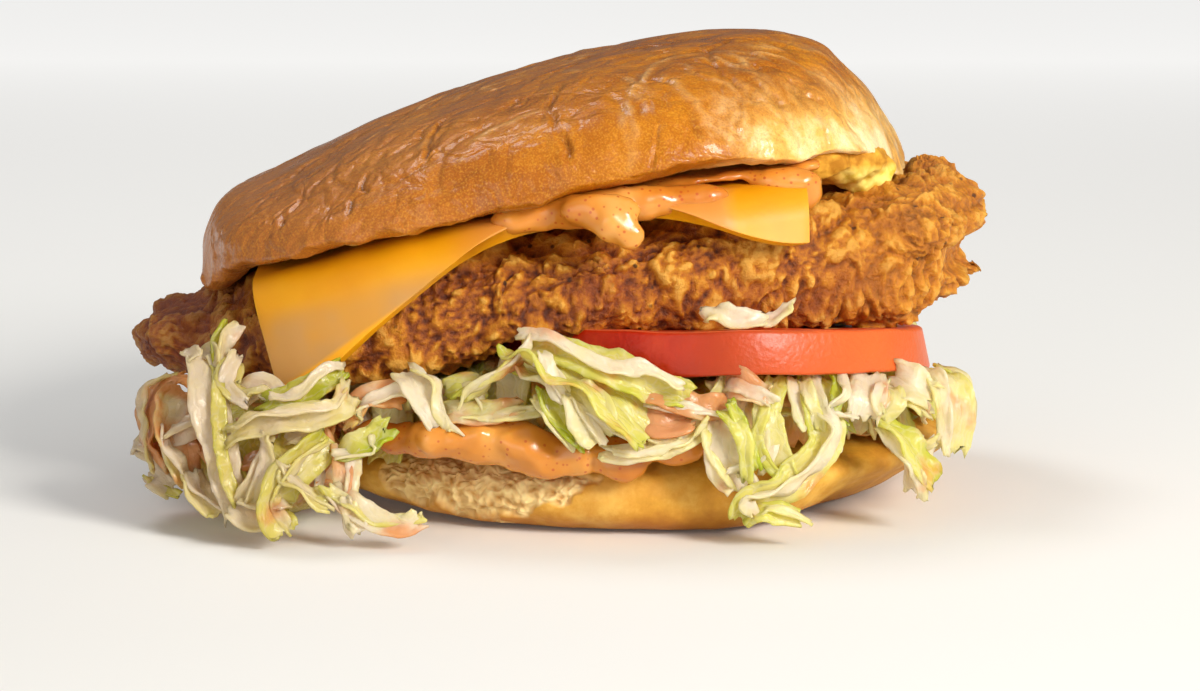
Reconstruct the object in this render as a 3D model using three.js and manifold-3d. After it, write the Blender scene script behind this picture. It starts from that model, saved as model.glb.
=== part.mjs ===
// A fried chicken burger, in millimetres: +Z up, X along the burger's long side, -Y its front.
// From the board up: the heel of the bun, pink sauce, shredded iceberg lettuce, a thick tomato slice, a crumbed
// chicken fillet longer than the bun, a cheese slice whose front corners hang down, more sauce, and the crown.
// The forms are worked out about the middle of the bun, and the finished group is then centred on its own box.
import * as THREE from "three";
import Module from "manifold-3d";
import { mergeVertices } from "three/addons/utils/BufferGeometryUtils.js";

// Driving dimensions
const CROWN = { x: -7, y: 2, long: 116, deep: 107, edge: 6.5 };
const HEEL = { x: 5, y: 0, long: 113, deep: 100, thick: 14.5, edge: 6.5 };
const FILLET = { x: -7, y: 1, long: 136, deep: 92, edge: 9.5 };
const CHEESE = { left: -52.8, right: 31, back: 36, thick: 2.4, bend: 6 };
const TOMATO = { x: 17.7, y: -17, wide: 68, thick: 7.2, taper: 2 };
const LEAF_THICK = 1.1; // a little thicker than a real leaf, so that each shred is a sound solid
const GAP = 0.45; // air between neighbours, which real layers close by sagging

// Levels at the middle of the bun, and slopes in mm per mm: the stack rises to the right, the tomato dips to the back
const CROWN_BASE = 45;
const CROWN_RISE = 0.143;
const FILLET_TOP = 47.9;
const FILLET_RISE = 0.122;
const FILLET_UNDER = 23.6;
const FILLET_UNDER_RISE = 0.09;
const TOMATO_MIDDLE = 24.4;
const TOMATO_DIP = 0.125;

const wasm = await Module();
wasm.setup();

const clamp = (v, low, high) => Math.min(high, Math.max(low, v));
const smooth = (low, high, v) => {
  const t = clamp((v - low) / (high - low), 0, 1);
  return t * t * (3 - 2 * t);
};
const hill = (x, y, cx, cy, reach) => Math.exp(-((x - cx) ** 2 + (y - cy) ** 2) / reach ** 2);

// A fixed scramble of three whole numbers into 0..1
function scramble(i, j, k) {
  let h = Math.imul(i, 374761393) ^ Math.imul(j, 668265263) ^ Math.imul(k, 1274126177);
  h = Math.imul(h ^ (h >>> 13), 1103515245);
  h ^= h >>> 16;
  return (h >>> 0) / 4294967295;
}

// Smooth value noise in -1..1
function noise(x, y, z) {
  const [i, j, k] = [x, y, z].map(Math.floor);
  const [u, v, w] = [x - i, y - j, z - k].map((t) => t * t * (3 - 2 * t));
  let sum = 0;
  for (const a of [0, 1])
    for (const b of [0, 1])
      for (const c of [0, 1])
        sum +=
          scramble(i + a, j + b, k + c) * (a ? u : 1 - u) * (b ? v : 1 - v) * (c ? w : 1 - w);
  return 2 * sum - 1;
}

// A repeatable draw of numbers in 0..1
function dice(seed) {
  let n = seed;
  return () => scramble(seed, (n += 1), 7);
}

// A closed mesh from points and faces, turned so that its faces look outwards
function closed(points, faces) {
  let volume = 0;
  for (let i = 0; i < faces.length; i += 3) {
    const [a, b, c] = [0, 1, 2].map((k) => new THREE.Vector3(...points[faces[i + k]]));
    volume += a.dot(b.cross(c));
  }
  return new THREE.BufferGeometry()
    .setAttribute("position", new THREE.Float32BufferAttribute(points.flat(), 3))
    .setIndex(volume < 0 ? faces.reverse() : faces);
}

// Closed mesh from rings of points: one pole, the rings from the bottom to the top, the other pole
function ringed(bottomPole, rings, topPole) {
  const around = rings[0].length;
  const points = [bottomPole, ...rings.flat(), topPole];
  const last = points.length - 1;
  const at = (ring, i) => 1 + ring * around + (i % around);
  const faces = [];
  for (let i = 0; i < around; i += 1) {
    faces.push(0, at(0, i + 1), at(0, i));
    for (let r = 0; r + 1 < rings.length; r += 1) {
      faces.push(at(r, i), at(r, i + 1), at(r + 1, i + 1));
      faces.push(at(r, i), at(r + 1, i + 1), at(r + 1, i));
    }
    faces.push(last, at(rings.length - 1, i), at(rings.length - 1, i + 1));
  }
  return closed(points, faces);
}

// A cushion-like layer: radius(angle) is its outline, low(x, y) and high(x, y) its two faces, edge its side's
// rounding, and a belly past 1 makes the side bulge lower down
function layer({ x, y, radius, edge, low, high, around, floor, side, roof, belly = 1 }) {
  const place = (angle, inset, reach, rise) => {
    const r = (radius(angle) - edge) * inset + reach;
    const px = x + r * Math.cos(angle);
    const py = y + r * Math.sin(angle);
    return [px, py, low(px, py) * (1 - rise) + high(px, py) * rise];
  };
  const turn = (inset, reach, rise) =>
    Array.from({ length: around }, (_, i) =>
      place((2 * Math.PI * i) / around, inset, reach, rise),
    );
  const rings = [];
  for (let i = 1; i <= floor; i += 1) rings.push(turn((i / floor) ** 0.75, 0, 0));
  for (let i = 1; i < side; i += 1) {
    const a = Math.PI * (i / side - 0.5);
    rings.push(turn(1, edge * Math.cos(a), ((1 + Math.sin(a)) / 2) ** belly));
  }
  for (let i = roof; i >= 1; i -= 1) rings.push(turn((i / roof) ** 0.75, 0, 1));
  return ringed([x, y, low(x, y)], rings, [x, y, high(x, y)]);
}

// Oval outline, squarer as power grows past 2
const oval = (long, deep, power) => (a) =>
  (Math.abs(Math.cos(a) / (long / 2)) ** power + Math.abs(Math.sin(a) / (deep / 2)) ** power) **
  (-1 / power);

// Moves each vertex out along its own normal by amount(x, y, z)
function swell(geometry, amount) {
  geometry.computeVertexNormals();
  const p = geometry.getAttribute("position");
  const n = geometry.getAttribute("normal");
  for (let i = 0; i < p.count; i += 1) {
    const d = amount(p.getX(i), p.getY(i), p.getZ(i));
    p.setXYZ(i, p.getX(i) + d * n.getX(i), p.getY(i) + d * n.getY(i), p.getZ(i) + d * n.getZ(i));
  }
  return geometry;
}

// A sheet of even thickness over a grid of points: surface(u, v) with u and v in 0..1
function sheet(surface, across, along, thick) {
  const grid = [];
  for (let j = 0; j <= along; j += 1)
    for (let i = 0; i <= across; i += 1) grid.push(surface(i / across, j / along));
  const at = (i, j) => grid[clamp(j, 0, along) * (across + 1) + clamp(i, 0, across)];
  const both = [[], []];
  for (let j = 0; j <= along; j += 1)
    for (let i = 0; i <= across; i += 1) {
      const side = new THREE.Vector3().subVectors(at(i + 1, j), at(i - 1, j));
      const ahead = new THREE.Vector3().subVectors(at(i, j + 1), at(i, j - 1));
      const normal = side.cross(ahead).normalize().multiplyScalar(thick / 2);
      both[0].push(at(i, j).clone().add(normal).toArray());
      both[1].push(at(i, j).clone().sub(normal).toArray());
    }
  const count = grid.length;
  const faces = [];
  const quad = (a, b, c, d) => faces.push(a, b, c, a, c, d);
  for (let j = 0; j < along; j += 1)
    for (let i = 0; i < across; i += 1) {
      const a = j * (across + 1) + i;
      const [b, c, d] = [a + 1, a + across + 2, a + across + 1];
      quad(a, b, c, d);
      quad(count + a, count + d, count + c, count + b);
    }
  const wall = (a, b) => quad(a, count + a, count + b, b);
  for (let i = 0; i < across; i += 1) {
    wall(i, i + 1);
    wall(along * (across + 1) + i + 1, along * (across + 1) + i);
  }
  for (let j = 0; j < along; j += 1) {
    wall((j + 1) * (across + 1), j * (across + 1));
    wall(j * (across + 1) + across, (j + 1) * (across + 1) + across);
  }
  return closed([...both[0], ...both[1]], faces);
}

// A lump with soft sides, for what is thick and shapeless
function lump([x, y, z], [rx, ry, rz], rough = 0, detail = 3) {
  const geometry = mergeVertices(bare(new THREE.IcosahedronGeometry(1, detail)), 1e-4);
  geometry.scale(rx, ry, rz);
  geometry.translate(x, y, z);
  return swell(geometry, (px, py, pz) => rough * noise(px / 4, py / 4, pz / 4));
}

// A rope of sauce along points, each [x, y, z, radius]
function bead(points, around = 8, steps = 14) {
  const line = new THREE.CatmullRomCurve3(points.map(([x, y, z]) => new THREE.Vector3(x, y, z)));
  const fat = (t) => {
    const s = t * (points.length - 1);
    const i = Math.min(points.length - 2, Math.floor(s));
    return THREE.MathUtils.lerp(points[i][3], points[i + 1][3], s - i);
  };
  const up = new THREE.Vector3(0, 0, 1);
  const rings = [];
  for (let k = 0; k <= steps; k += 1) {
    const t = k / steps;
    const centre = line.getPoint(t);
    const ahead = line.getTangent(t);
    const side = new THREE.Vector3().crossVectors(ahead, up).normalize();
    const top = new THREE.Vector3().crossVectors(side, ahead);
    const r = fat(t) * Math.sqrt(clamp(4 * t * (1 - t) + 0.35, 0, 1));
    rings.push(
      Array.from({ length: around }, (_, i) => {
        const a = (2 * Math.PI * i) / around;
        return centre
          .clone()
          .addScaledVector(side, r * Math.cos(a))
          .addScaledVector(top, r * Math.sin(a))
          .toArray();
      }),
    );
  }
  const reach = 0.5;
  const cap = (t, sign) =>
    line.getPoint(t).addScaledVector(line.getTangent(t), sign * reach * fat(t)).toArray();
  return ringed(cap(0, -1), rings, cap(1, 1));
}

function bare(geometry) {
  return new THREE.BufferGeometry()
    .setAttribute("position", geometry.getAttribute("position"))
    .setIndex(geometry.index);
}

function solid(geometry) {
  const merged = mergeVertices(bare(geometry), 1e-4);
  return new wasm.Manifold(
    new wasm.Mesh({
      numProp: 3,
      vertProperties: new Float32Array(merged.getAttribute("position").array),
      triVerts: new Uint32Array(merged.index.array),
    }),
  );
}

const join = (solids) => solids.reduce((all, one) => all.add(one));

// What is left of a solid after the cutters, without loose scraps
function cut(body, ...cutters) {
  const left = cutters.reduce((all, one) => all.subtract(one), body).decompose();
  return left.reduce((best, one) => (one.volume() > best.volume() ? one : best));
}

// Levels of each layer's faces
const inTomato = (x, y) => Math.hypot(x - TOMATO.x, y - TOMATO.y);
const tomatoMiddle = (y) => TOMATO_MIDDLE - TOMATO_DIP * (y - TOMATO.y);
const tomatoTop = (y) => tomatoMiddle(y) + TOMATO.thick / 2;

function heelTop(x, y) {
  const slump = 3.2 * smooth(0.65, 1, Math.hypot((x - HEEL.x) / 56, (y - HEEL.y) / 50));
  return HEEL.thick - slump + 0.7 * noise(x / 14, y / 14, 3);
}

const filletOval = oval(FILLET.long, FILLET.deep, 2.35);
const filletOutline = (a) => filletOval(a) + 2.2 * noise(1.6 * Math.cos(a), 1.6 * Math.sin(a), 31);

function filletUnder(x, y) {
  const flat = FILLET_UNDER + FILLET_UNDER_RISE * x + 0.8 * noise(x / 12, y / 12, 11);
  const bed = tomatoTop(y) + 1;
  const onTomato = 1 - smooth(TOMATO.wide / 2 + 1, TOMATO.wide / 2 + 9, inTomato(x, y));
  return flat + Math.max(0, bed - flat) * onTomato;
}

function filletTop(x, y) {
  const across = (y - FILLET.y) / (FILLET.deep / 2);
  const droop = 4.5 * (1 - smooth(-72, -50, x)) + 3.4 * hill(x, y, -53, -33, 18);
  return FILLET_TOP + FILLET_RISE * x - 0.00105 * x * x - 2.2 * across ** 2 - droop;
}

// The fillet's skin seen from above, with its rounded shoulder
function filletSkin(x, y) {
  const angle = Math.atan2(y - FILLET.y, x - FILLET.x);
  const inside = filletOutline(angle) - Math.hypot(x - FILLET.x, y - FILLET.y);
  const shoulder = clamp(1 - inside / FILLET.edge, 0, 1);
  const middle = (filletTop(x, y) + filletUnder(x, y)) / 2;
  return middle + (filletTop(x, y) - middle) * Math.sqrt(1 - shoulder ** 2);
}

// The fillet's front edge in plan, found by halving the angle
function filletFront(x) {
  let [low, high] = [-Math.PI, 0];
  for (let i = 0; i < 24; i += 1) {
    const a = (low + high) / 2;
    if (FILLET.x + filletOutline(a) * Math.cos(a) < x) low = a;
    else high = a;
  }
  return FILLET.y + filletOutline(low) * Math.sin(low);
}

// The cheese: flat on the fillet, bent over its front shoulder, then hanging. hang(x) is how far past the flat it runs
const CHEESE_LIFT = GAP + 1 + CHEESE.thick / 2;
const cheeseFold = (x) => filletFront(x) + 3.2;
const cheeseHang = (x) => 1 + 20.5 * (1 - smooth(-60, -2, x)) + 10.5 * smooth(0, 31, x);

function cheeseSkin(x, y) {
  const fold = cheeseFold(x);
  if (y >= fold) return filletTop(x, y) + CHEESE_LIFT + CHEESE.thick / 2;
  const outer = CHEESE.bend + CHEESE.thick / 2;
  const drop = outer - Math.sqrt(Math.max(outer ** 2 - (fold - y) ** 2, 1));
  return filletTop(x, fold) + CHEESE_LIFT + CHEESE.thick / 2 - drop;
}

// What the crown rests on: the cheese where there is cheese, otherwise the fillet
function stackTop(x, y) {
  const onCheese = smooth(-58, -52, x) * (1 - smooth(31, 36, x)) * (1 - smooth(36, 41, y));
  const bare = filletSkin(x, y) + 1;
  return bare + (Math.max(cheeseSkin(x, y), bare) - bare) * onCheese;
}

// The upper sauce covers the cheese's front from left to right, back to a line, and its front edge laps the fold
const FILM = { left: -24, right: 34, back: -24, thick: 1.7 };
const filmFront = (x) => cheeseFold(x) + 0.5 - 5 * Math.exp(-(((x - 1) / 7) ** 2));

function onFilm(x, y) {
  const along = smooth(FILM.left - 9, FILM.left, x) * (1 - smooth(FILM.right, FILM.right + 9, x));
  return along * (1 - smooth(FILM.back, FILM.back + 8, y));
}

// The crown's rim line rises to the right, arches over the filling, and droops at the right end
const crownLine = (x) => CROWN_BASE + CROWN_RISE * x;
const crownArch = (x) => 8.2 * Math.max(0, 1 - ((x - 12) / 54) ** 2) - 5 * smooth(36, 52, x);

function crownUnder(x, y) {
  const room = 0.8 + 1.8 * onFilm(x, y);
  return Math.max(crownLine(x) + crownArch(x), stackTop(x, y) + room);
}

function crownTop(x, y) {
  const u = (x - CROWN.x) / (CROWN.long / 2 - 2);
  const v = (y - CROWN.y) / (CROWN.deep / 2 - 2);
  const r = Math.min(1, Math.hypot(u, v));
  const rim = crownLine(x) + 9.5 - 4 * smooth(10, 50, x) + 0.4 * Math.max(0, crownArch(x));
  const d = x - CROWN.x;
  const peak = crownLine(x) + 24.9 + 0.122 * d - 0.00155 * d * d;
  return rim + (peak - rim) * Math.sqrt(1 - r ** 2.4);
}

// The heel: a flat base, a rounded side, and crumb torn bare at the front left
function heel() {
  const torn = { x: -28, y: -45, reach: 15 };
  const body = layer({
    ...HEEL,
    radius: (a) => oval(HEEL.long, HEEL.deep, 2.15)(a) + 0.9 * noise(2 * Math.cos(a), 2 * Math.sin(a), 21),
    low: (x, y) => 3.4 * smooth(0.72, 1.02, Math.hypot((x - 8) / 56, y / 50)) * hill(x, y, -46, -30, 26),
    high: heelTop,
    around: 44,
    floor: 2,
    side: 6,
    roof: 2,
  });
  return swell(body, (x, y, z) => {
    const bare_ = hill(x, y, torn.x, torn.y, torn.reach) * smooth(1, 4, z);
    const pits = bare_ * (-1.6 + 1.1 * noise(x / 3.2, y / 3.2, z / 2.4));
    return pits + (z > 0.4 ? 0.35 * noise(x / 9, y / 9, z / 9) : 0);
  });
}

// The fillet: thick, uneven, crumbed in knobbly crags, with a curled lobe and a spike of batter at the right end
function crags(x, y, z) {
  const broad = noise(x / 9, y / 9, z / 9);
  const knob = 1 - Math.abs(noise(x / 4.6 + 9, y / 4.6, z / 4.6)) * 2;
  const grain = noise(x / 2.6, y / 2.6 + 5, z / 2.6);
  return 1.25 * broad + 0.75 * knob + 0.4 * grain;
}

function fillet(grow = 0) {
  const body = layer({
    ...FILLET,
    radius: filletOutline,
    low: filletUnder,
    high: filletTop,
    around: 68,
    floor: 3,
    side: 8,
    roof: 2,
    belly: 1.35,
  });
  const lobes = [
    { at: [56.5, 3, 47.6], size: [6.8, 10.5, 6.2] },
    { at: [57, -5, 43], size: [6.2, 6.5, 5.4] },
    { at: [49, -24, 44.5], size: [8, 9, 6] },
    { at: [59.3, -2, 34.5], size: [5.4, 3.4, 2.1] },
    { at: [54, -8, 37], size: [7, 14, 8] },
    { at: [-67.5, -8, 25], size: [8.5, 14, 7.4] },
  ];
  const sideOnly = (x, y) => {
    const r = Math.hypot((x - FILLET.x) / (FILLET.long / 2), (y - FILLET.y) / (FILLET.deep / 2));
    return smooth(0.72, 0.95, r);
  };
  const craggy = (x, y, z) => crags(x, y, z) * sideOnly(x, y) - 0.9 * (1 - sideOnly(x, y)) + grow;
  const parts = [swell(body, craggy)];
  for (const { at, size } of lobes)
    parts.push(swell(lump(at, size, 0, 2), (x, y, z) => 0.6 * crags(x, y, z) + grow));
  return join(parts.map(solid));
}

// The cheese: a square slice whose front corners hang, the left one most; its left edge slants inwards as it falls
function cheese() {
  const flatPart = 0.3;
  const slope = 1.31;
  const surface = (u, v) => {
    const x = CHEESE.left + (CHEESE.right - CHEESE.left) * u;
    const fold = cheeseFold(x);
    if (v <= flatPart) {
      const y = CHEESE.back + ((fold - CHEESE.back) * v) / flatPart;
      return new THREE.Vector3(x, y, filletTop(x, y) + CHEESE_LIFT);
    }
    const run = (cheeseHang(x) * (v - flatPart)) / (1 - flatPart);
    const angle = Math.min(slope, run / CHEESE.bend);
    const below = Math.max(0, run - slope * CHEESE.bend);
    const drop = CHEESE.bend * (1 - Math.cos(angle)) + below * Math.sin(slope);
    const inwards = 0.3 * drop * (1 - smooth(-53, -15, x));
    return new THREE.Vector3(
      x + inwards,
      fold - CHEESE.bend * Math.sin(angle) - below * Math.cos(slope),
      filletTop(x, fold) + CHEESE_LIFT - drop,
    );
  };
  return sheet(surface, 13, 12, CHEESE.thick);
}

// Sauce on the cheese: a film under the crown's front rim, and a drip down over the cheese's edge
function upperSauce() {
  const film = sheet(
    (u, v) => {
      const x = FILM.left + (FILM.right - FILM.left) * u;
      const y = FILM.back + (filmFront(x) - FILM.back) * v;
      return new THREE.Vector3(x, y, cheeseSkin(x, y) + 0.35 + FILM.thick / 2);
    },
    12,
    3,
    FILM.thick,
  );
  const drip = bead(
    [
      [-12, -41.5, 49.8, 1.4],
      [-5, -45.5, 49.6, 2.3],
      [1, -49, 48.4, 3],
      [4, -51, 45.6, 2.5],
    ],
    8,
    8,
  );
  return join([solid(film), solid(drip)]);
}

// The pool of sauce on the heel, behind the bead that shows
const POOL = { x: -10, y: -34, long: 58, deep: 26 };
const onPool = (x, y) =>
  1 - smooth(1.02, 1.3, Math.hypot((x - POOL.x) / POOL.long, (y - POOL.y) / POOL.deep) * 2);

// Sauce under the lettuce: beads that bulge over the heel's front rim, and a thick smear at the left
function lowerSauce(grow = 0) {
  const rim = bead([
    [-37, -41, 15.4, 2.2],
    [-27, -46, 14.8, 3.2],
    [-16, -48.6, 14.6, 3.4],
    [-6, -49.6, 13.2, 3.7],
    [4, -49.4, 13.6, 3],
    [12, -47.5, 15.2, 1.9],
  ]);
  const pool = layer({
    ...POOL,
    radius: oval(POOL.long, POOL.deep, 2),
    edge: 1,
    low: (x, y) => heelTop(x, y) + GAP + 0.7,
    high: (x, y) => heelTop(x, y) + 3.2,
    around: 24,
    floor: 1,
    side: 3,
    roof: 1,
  });
  return join([rim, pool].map((one) => solid(swell(one, () => grow))));
}

// The tomato: a thick round slice, wider below, with a rounded skin side
function tomato(grow = 0) {
  const profile = [
    [0, -TOMATO.thick / 2 - grow],
    [TOMATO.wide / 2 - 0.5 + grow, -TOMATO.thick / 2 - grow],
    [TOMATO.wide / 2 + 0.9 + grow, -TOMATO.thick / 2 + 0.8],
    [TOMATO.wide / 2 + 0.6 + grow, 0],
    [TOMATO.wide / 2 + 0.6 - TOMATO.taper + grow, TOMATO.thick / 2 - 0.6],
    [TOMATO.wide / 2 - TOMATO.taper, TOMATO.thick / 2 + grow],
    [0, TOMATO.thick / 2 + grow],
  ];
  const slice = new THREE.LatheGeometry(
    profile.map(([r, z]) => new THREE.Vector2(r, z)),
    44,
  );
  slice.rotateX(Math.PI / 2);
  const p = slice.getAttribute("position");
  for (let i = 0; i < p.count; i += 1) {
    const a = Math.atan2(p.getY(i), p.getX(i));
    const lobed = 1 + 0.012 * Math.cos(5 * a + 1);
    p.setXYZ(i, p.getX(i) * lobed, p.getY(i) * lobed, p.getZ(i) - TOMATO_DIP * p.getY(i));
  }
  slice.translate(TOMATO.x, TOMATO.y, TOMATO_MIDDLE);
  return slice;
}

// One shred of leaf along points [x, y, z], wide at its middle, with a twist and a wavy edge
function shred({ path, wide, twist = 0, lean = 0, wave = 0.7, seed = 1 }) {
  const [x, y, z] = path[0];
  const root = x < -38 && y < 0 ? [(x - 54) / 2, -32, Math.min(z, 12.5)] : [x * 0.93, y + 9, Math.min(z, 19)];
  const line = new THREE.CatmullRomCurve3([root, ...path].map((p) => new THREE.Vector3(...p)));
  const steps = Math.max(4, Math.round(line.getLength() / 5.6));
  const surface = (u, v) => {
    const ahead = line.getTangent(v);
    const out = new THREE.Vector3(Math.cos(lean), Math.sin(lean), 0);
    const flat = out.addScaledVector(ahead, -out.dot(ahead)).normalize();
    flat.applyAxisAngle(ahead, twist * (v - 0.5));
    const up = new THREE.Vector3().crossVectors(ahead, flat);
    const half = (wide / 2) * (0.45 + 0.55 * Math.sin(Math.PI * clamp(0.12 + 0.8 * v, 0, 1)));
    const ruffle = wave * noise(3 * v + seed, 4 * u, seed) + 0.12 * wide * (2 * u - 1) ** 2;
    const point = line
      .getPoint(v)
      .addScaledVector(flat, (2 * u - 1) * half * (1 + 0.2 * noise(4 * v, u + seed, 3)))
      .addScaledVector(up, ruffle);
    point.z = Math.max(point.z, LEAF_THICK * 0.7);
    return point;
  };
  return sheet(surface, wide > 8.2 ? 2 : 1, steps, LEAF_THICK);
}

// Shreds that show at the front: each hangs or lies as its path says
const FRONT_SHREDS = [
  // The pile that spills off the heel at the left
  { path: [[-62, -33, 26], [-61, -42, 19], [-57, -47, 9], [-52, -49, 3]], wide: 8, lean: 0.1 },
  { path: [[-60, -30, 27.5], [-58.5, -34, 24], [-57, -38, 18]], wide: 4, lean: 0.6, twist: 0.6 },
  { path: [[-54, -46, 13], [-46, -50, 17], [-37, -49, 20.5]], wide: 8, lean: 1.5, twist: 0.4 },
  { path: [[-52, -51, 12], [-49, -54, 6], [-46, -56, 1.6]], wide: 9, lean: 0.2, twist: 0.5 },
  { path: [[-37, -51, 16], [-40, -54, 9], [-45, -55, 3.5]], wide: 7, lean: 0.7, twist: 0.7 },
  { path: [[-41, -52, 12], [-38, -55, 5], [-32, -57, 1.8], [-27, -57, 3]], wide: 5, lean: 0.5 },
  { path: [[-68, -30, 12], [-70, -36, 7], [-66, -41, 2.2]], wide: 7, lean: 2.2, twist: 0.5 },
  { path: [[-62, -38, 17], [-67, -36, 12], [-72.5, -31, 9.5]], wide: 3.6, lean: 1.2, twist: 1 },
  // The middle, between the fillet and the lower sauce
  { path: [[-29, -42, 22.8], [-27.5, -49, 20], [-24, -52, 16.5]], wide: 5.4, lean: 0.2 },
  { path: [[-23, -44, 19.5], [-17, -50, 20], [-12, -47, 24]], wide: 5, lean: 1.2, twist: 0.5 },
  { path: [[-14, -44, 25.5], [-7, -50.5, 22.5], [1, -52.5, 18], [4, -53, 13.5]], wide: 13, lean: 0.5 },
  { path: [[-12, -47, 25], [-2, -52, 23.4], [9, -52.6, 20.5], [18, -51.5, 17.5]], wide: 8, lean: 1.1 },
  { path: [[2, -52, 13], [9, -54.2, 13], [15.5, -53, 17.5]], wide: 4, lean: 1.3, twist: 0.7 },
  // The right, hanging from under the tomato down the heel's side
  { path: [[17, -47, 20.5], [19, -52.5, 16], [21.5, -54, 9]], wide: 9.5, lean: 0.1 },
  { path: [[18, -48, 20], [20.5, -54.5, 16], [23, -55.4, 9.5]], wide: 3, lean: 0.4, twist: 0.4 },
  { path: [[28, -46, 20.5], [25.5, -51.5, 16], [28.5, -52.6, 9]], wide: 5.5, lean: 0.2, twist: 0.5 },
  { path: [[34, -44, 20.5], [33, -50.5, 15], [29, -53, 8], [24, -54, 2.6]], wide: 8.5, lean: 0.2 },
  { path: [[39, -41, 20.5], [40.5, -46.5, 18], [41, -48.6, 14]], wide: 7.5, lean: 0.3 },
  { path: [[44, -38, 18], [48, -42, 12], [53, -40, 5]], wide: 6.5, lean: 0.6, twist: 0.5 },
  { path: [[47, -32, 19.5], [54.5, -32, 16], [57.5, -31, 9], [53, -32, 2.2]], wide: 11, lean: 1.2 },
  { path: [[46, -24, 21.5], [53, -22, 20], [59, -22, 15]], wide: 8, lean: 1.5, twist: 0.4 },
];

// Shreds round the sides and the back, drawn by a fixed rule
function backShreds() {
  const next = dice(17);
  const made = [];
  const count = 8;
  for (let i = 0; i < count; i += 1) {
    const angle = 0.05 + (Math.PI + 0.1) * ((i + 0.6 * next()) / count);
    const reach = (t) => {
      const r = oval(HEEL.long, HEEL.deep, 2.15)(angle) + t;
      return [HEEL.x + r * Math.cos(angle + 0.02 * t), HEEL.y + r * Math.sin(angle + 0.02 * t)];
    };
    const drop = 5 + 8 * next();
    made.push({
      path: [
        [...reach(-9), 19.4],
        [...reach(0.4), 17.8 - 0.15 * drop],
        [...reach(2 + next()), 17 - drop],
      ],
      wide: 4.5 + 5 * next(),
      lean: angle + Math.PI / 2 + 0.4 * (next() - 0.5),
      twist: 0.9 * (next() - 0.5),
      seed: 40 + i,
    });
  }
  return made;
}

// The lettuce: a bed on the heel, a mound spilled at the left, and the shreds that show, all one heap
function bedTop(x, y) {
  const free = filletUnder(x, y) - 1.4 + 0.6 * noise(x / 6, y / 6, 2);
  const pressed = tomatoMiddle(y) - TOMATO.thick / 2 - GAP - 0.5;
  const underTomato = 1 - smooth(TOMATO.wide / 2 + 2.5, TOMATO.wide / 2 + 8, inTomato(x, y));
  return Math.max(heelTop(x, y) + 2, free + (Math.min(free, pressed) - free) * underTomato);
}

function lettuce() {
  const bed = layer({
    x: 3,
    y: -1,
    radius: (a) => oval(100, 88, 2.2)(a) + 1.6 * noise(3 * Math.cos(a), 3 * Math.sin(a), 51),
    edge: 2.4,
    low: (x, y) => heelTop(x, y) + 1.2 + 3 * onPool(x, y),
    high: bedTop,
    around: 28,
    floor: 2,
    side: 3,
    roof: 2,
  });
  const spill = layer({
    x: -50,
    y: -33,
    radius: (a) => oval(33, 33, 2)(a) + 1.5 * noise(2 * Math.cos(a), 2 * Math.sin(a), 61),
    edge: 7,
    low: () => 0,
    high: (x, y) => Math.min(17, 5 + 16 * hill(x, y, -51, -29, 19)),
    around: 16,
    floor: 1,
    side: 4,
    roof: 1,
  });
  const lumps = [
    lump([-63, -26, 15], [8.5, 9, 8], 0.5, 1),
    lump([-46, -27, 14.8], [11, 11, 3.6], 0.3, 1),
  ];
  const shreds = [...FRONT_SHREDS, ...backShreds()].map((one, i) =>
    solid(shred({ ...one, seed: one.seed ?? i + 1 })),
  );
  return join([solid(bed), solid(spill), ...lumps.map(solid), ...shreds]);
}

// A ruffled scrap of leaf between the fillet and the tomato
function scrap() {
  const front = -48.6;
  return sheet(
    (u, v) => {
      const x = 15.5 + 12.5 * v;
      const y = front + 3.4 * u;
      const ripple = 0.55 * Math.sin(7 * v + 2 * u) + 0.3;
      return new THREE.Vector3(x, y, tomatoTop(y) + 1.25 + ripple * (1 - 0.4 * u));
    },
    2,
    9,
    0.7,
  );
}

// A crease pressed into the crown: a narrow wedge swept just over the dome along points [x, y]
function crease(points, wide = 2.4, deep = 1.3) {
  const line = new THREE.CatmullRomCurve3(
    points.map(([x, y]) => new THREE.Vector3(x, y, crownTop(x, y))),
  );
  const section = new THREE.Shape([
    new THREE.Vector2(-deep, 0),
    new THREE.Vector2(deep, wide / 2),
    new THREE.Vector2(deep, -wide / 2),
  ]);
  const steps = Math.max(3, Math.round(line.getLength() / 8));
  const rings = [];
  const corners = section.getPoints(1).slice(0, 3);
  for (let k = 0; k <= steps; k += 1) {
    const p = line.getPoint(k / steps);
    const ahead = line.getTangent(k / steps);
    const d = 0.5;
    const slopeX = (crownTop(p.x + d, p.y) - crownTop(p.x - d, p.y)) / (2 * d);
    const slopeY = (crownTop(p.x, p.y + d) - crownTop(p.x, p.y - d)) / (2 * d);
    const up = new THREE.Vector3(-slopeX, -slopeY, 1).normalize();
    const side = new THREE.Vector3().crossVectors(ahead, up).normalize();
    const fade = Math.min(1, 0.25 + 3 * Math.min(k, steps - k) / steps);
    rings.push(
      corners.map((c) =>
        new THREE.Vector3(p.x, p.y, crownTop(p.x, p.y))
          .addScaledVector(up, c.x < 0 ? c.x * fade : c.x)
          .addScaledVector(side, c.y * fade)
          .toArray(),
      ),
    );
  }
  const end = (ring) => [0, 1, 2].map((i) => (ring[0][i] + ring[1][i] + ring[2][i]) / 3);
  return solid(ringed(end(rings[0]), rings, end(rings[steps])));
}

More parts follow.
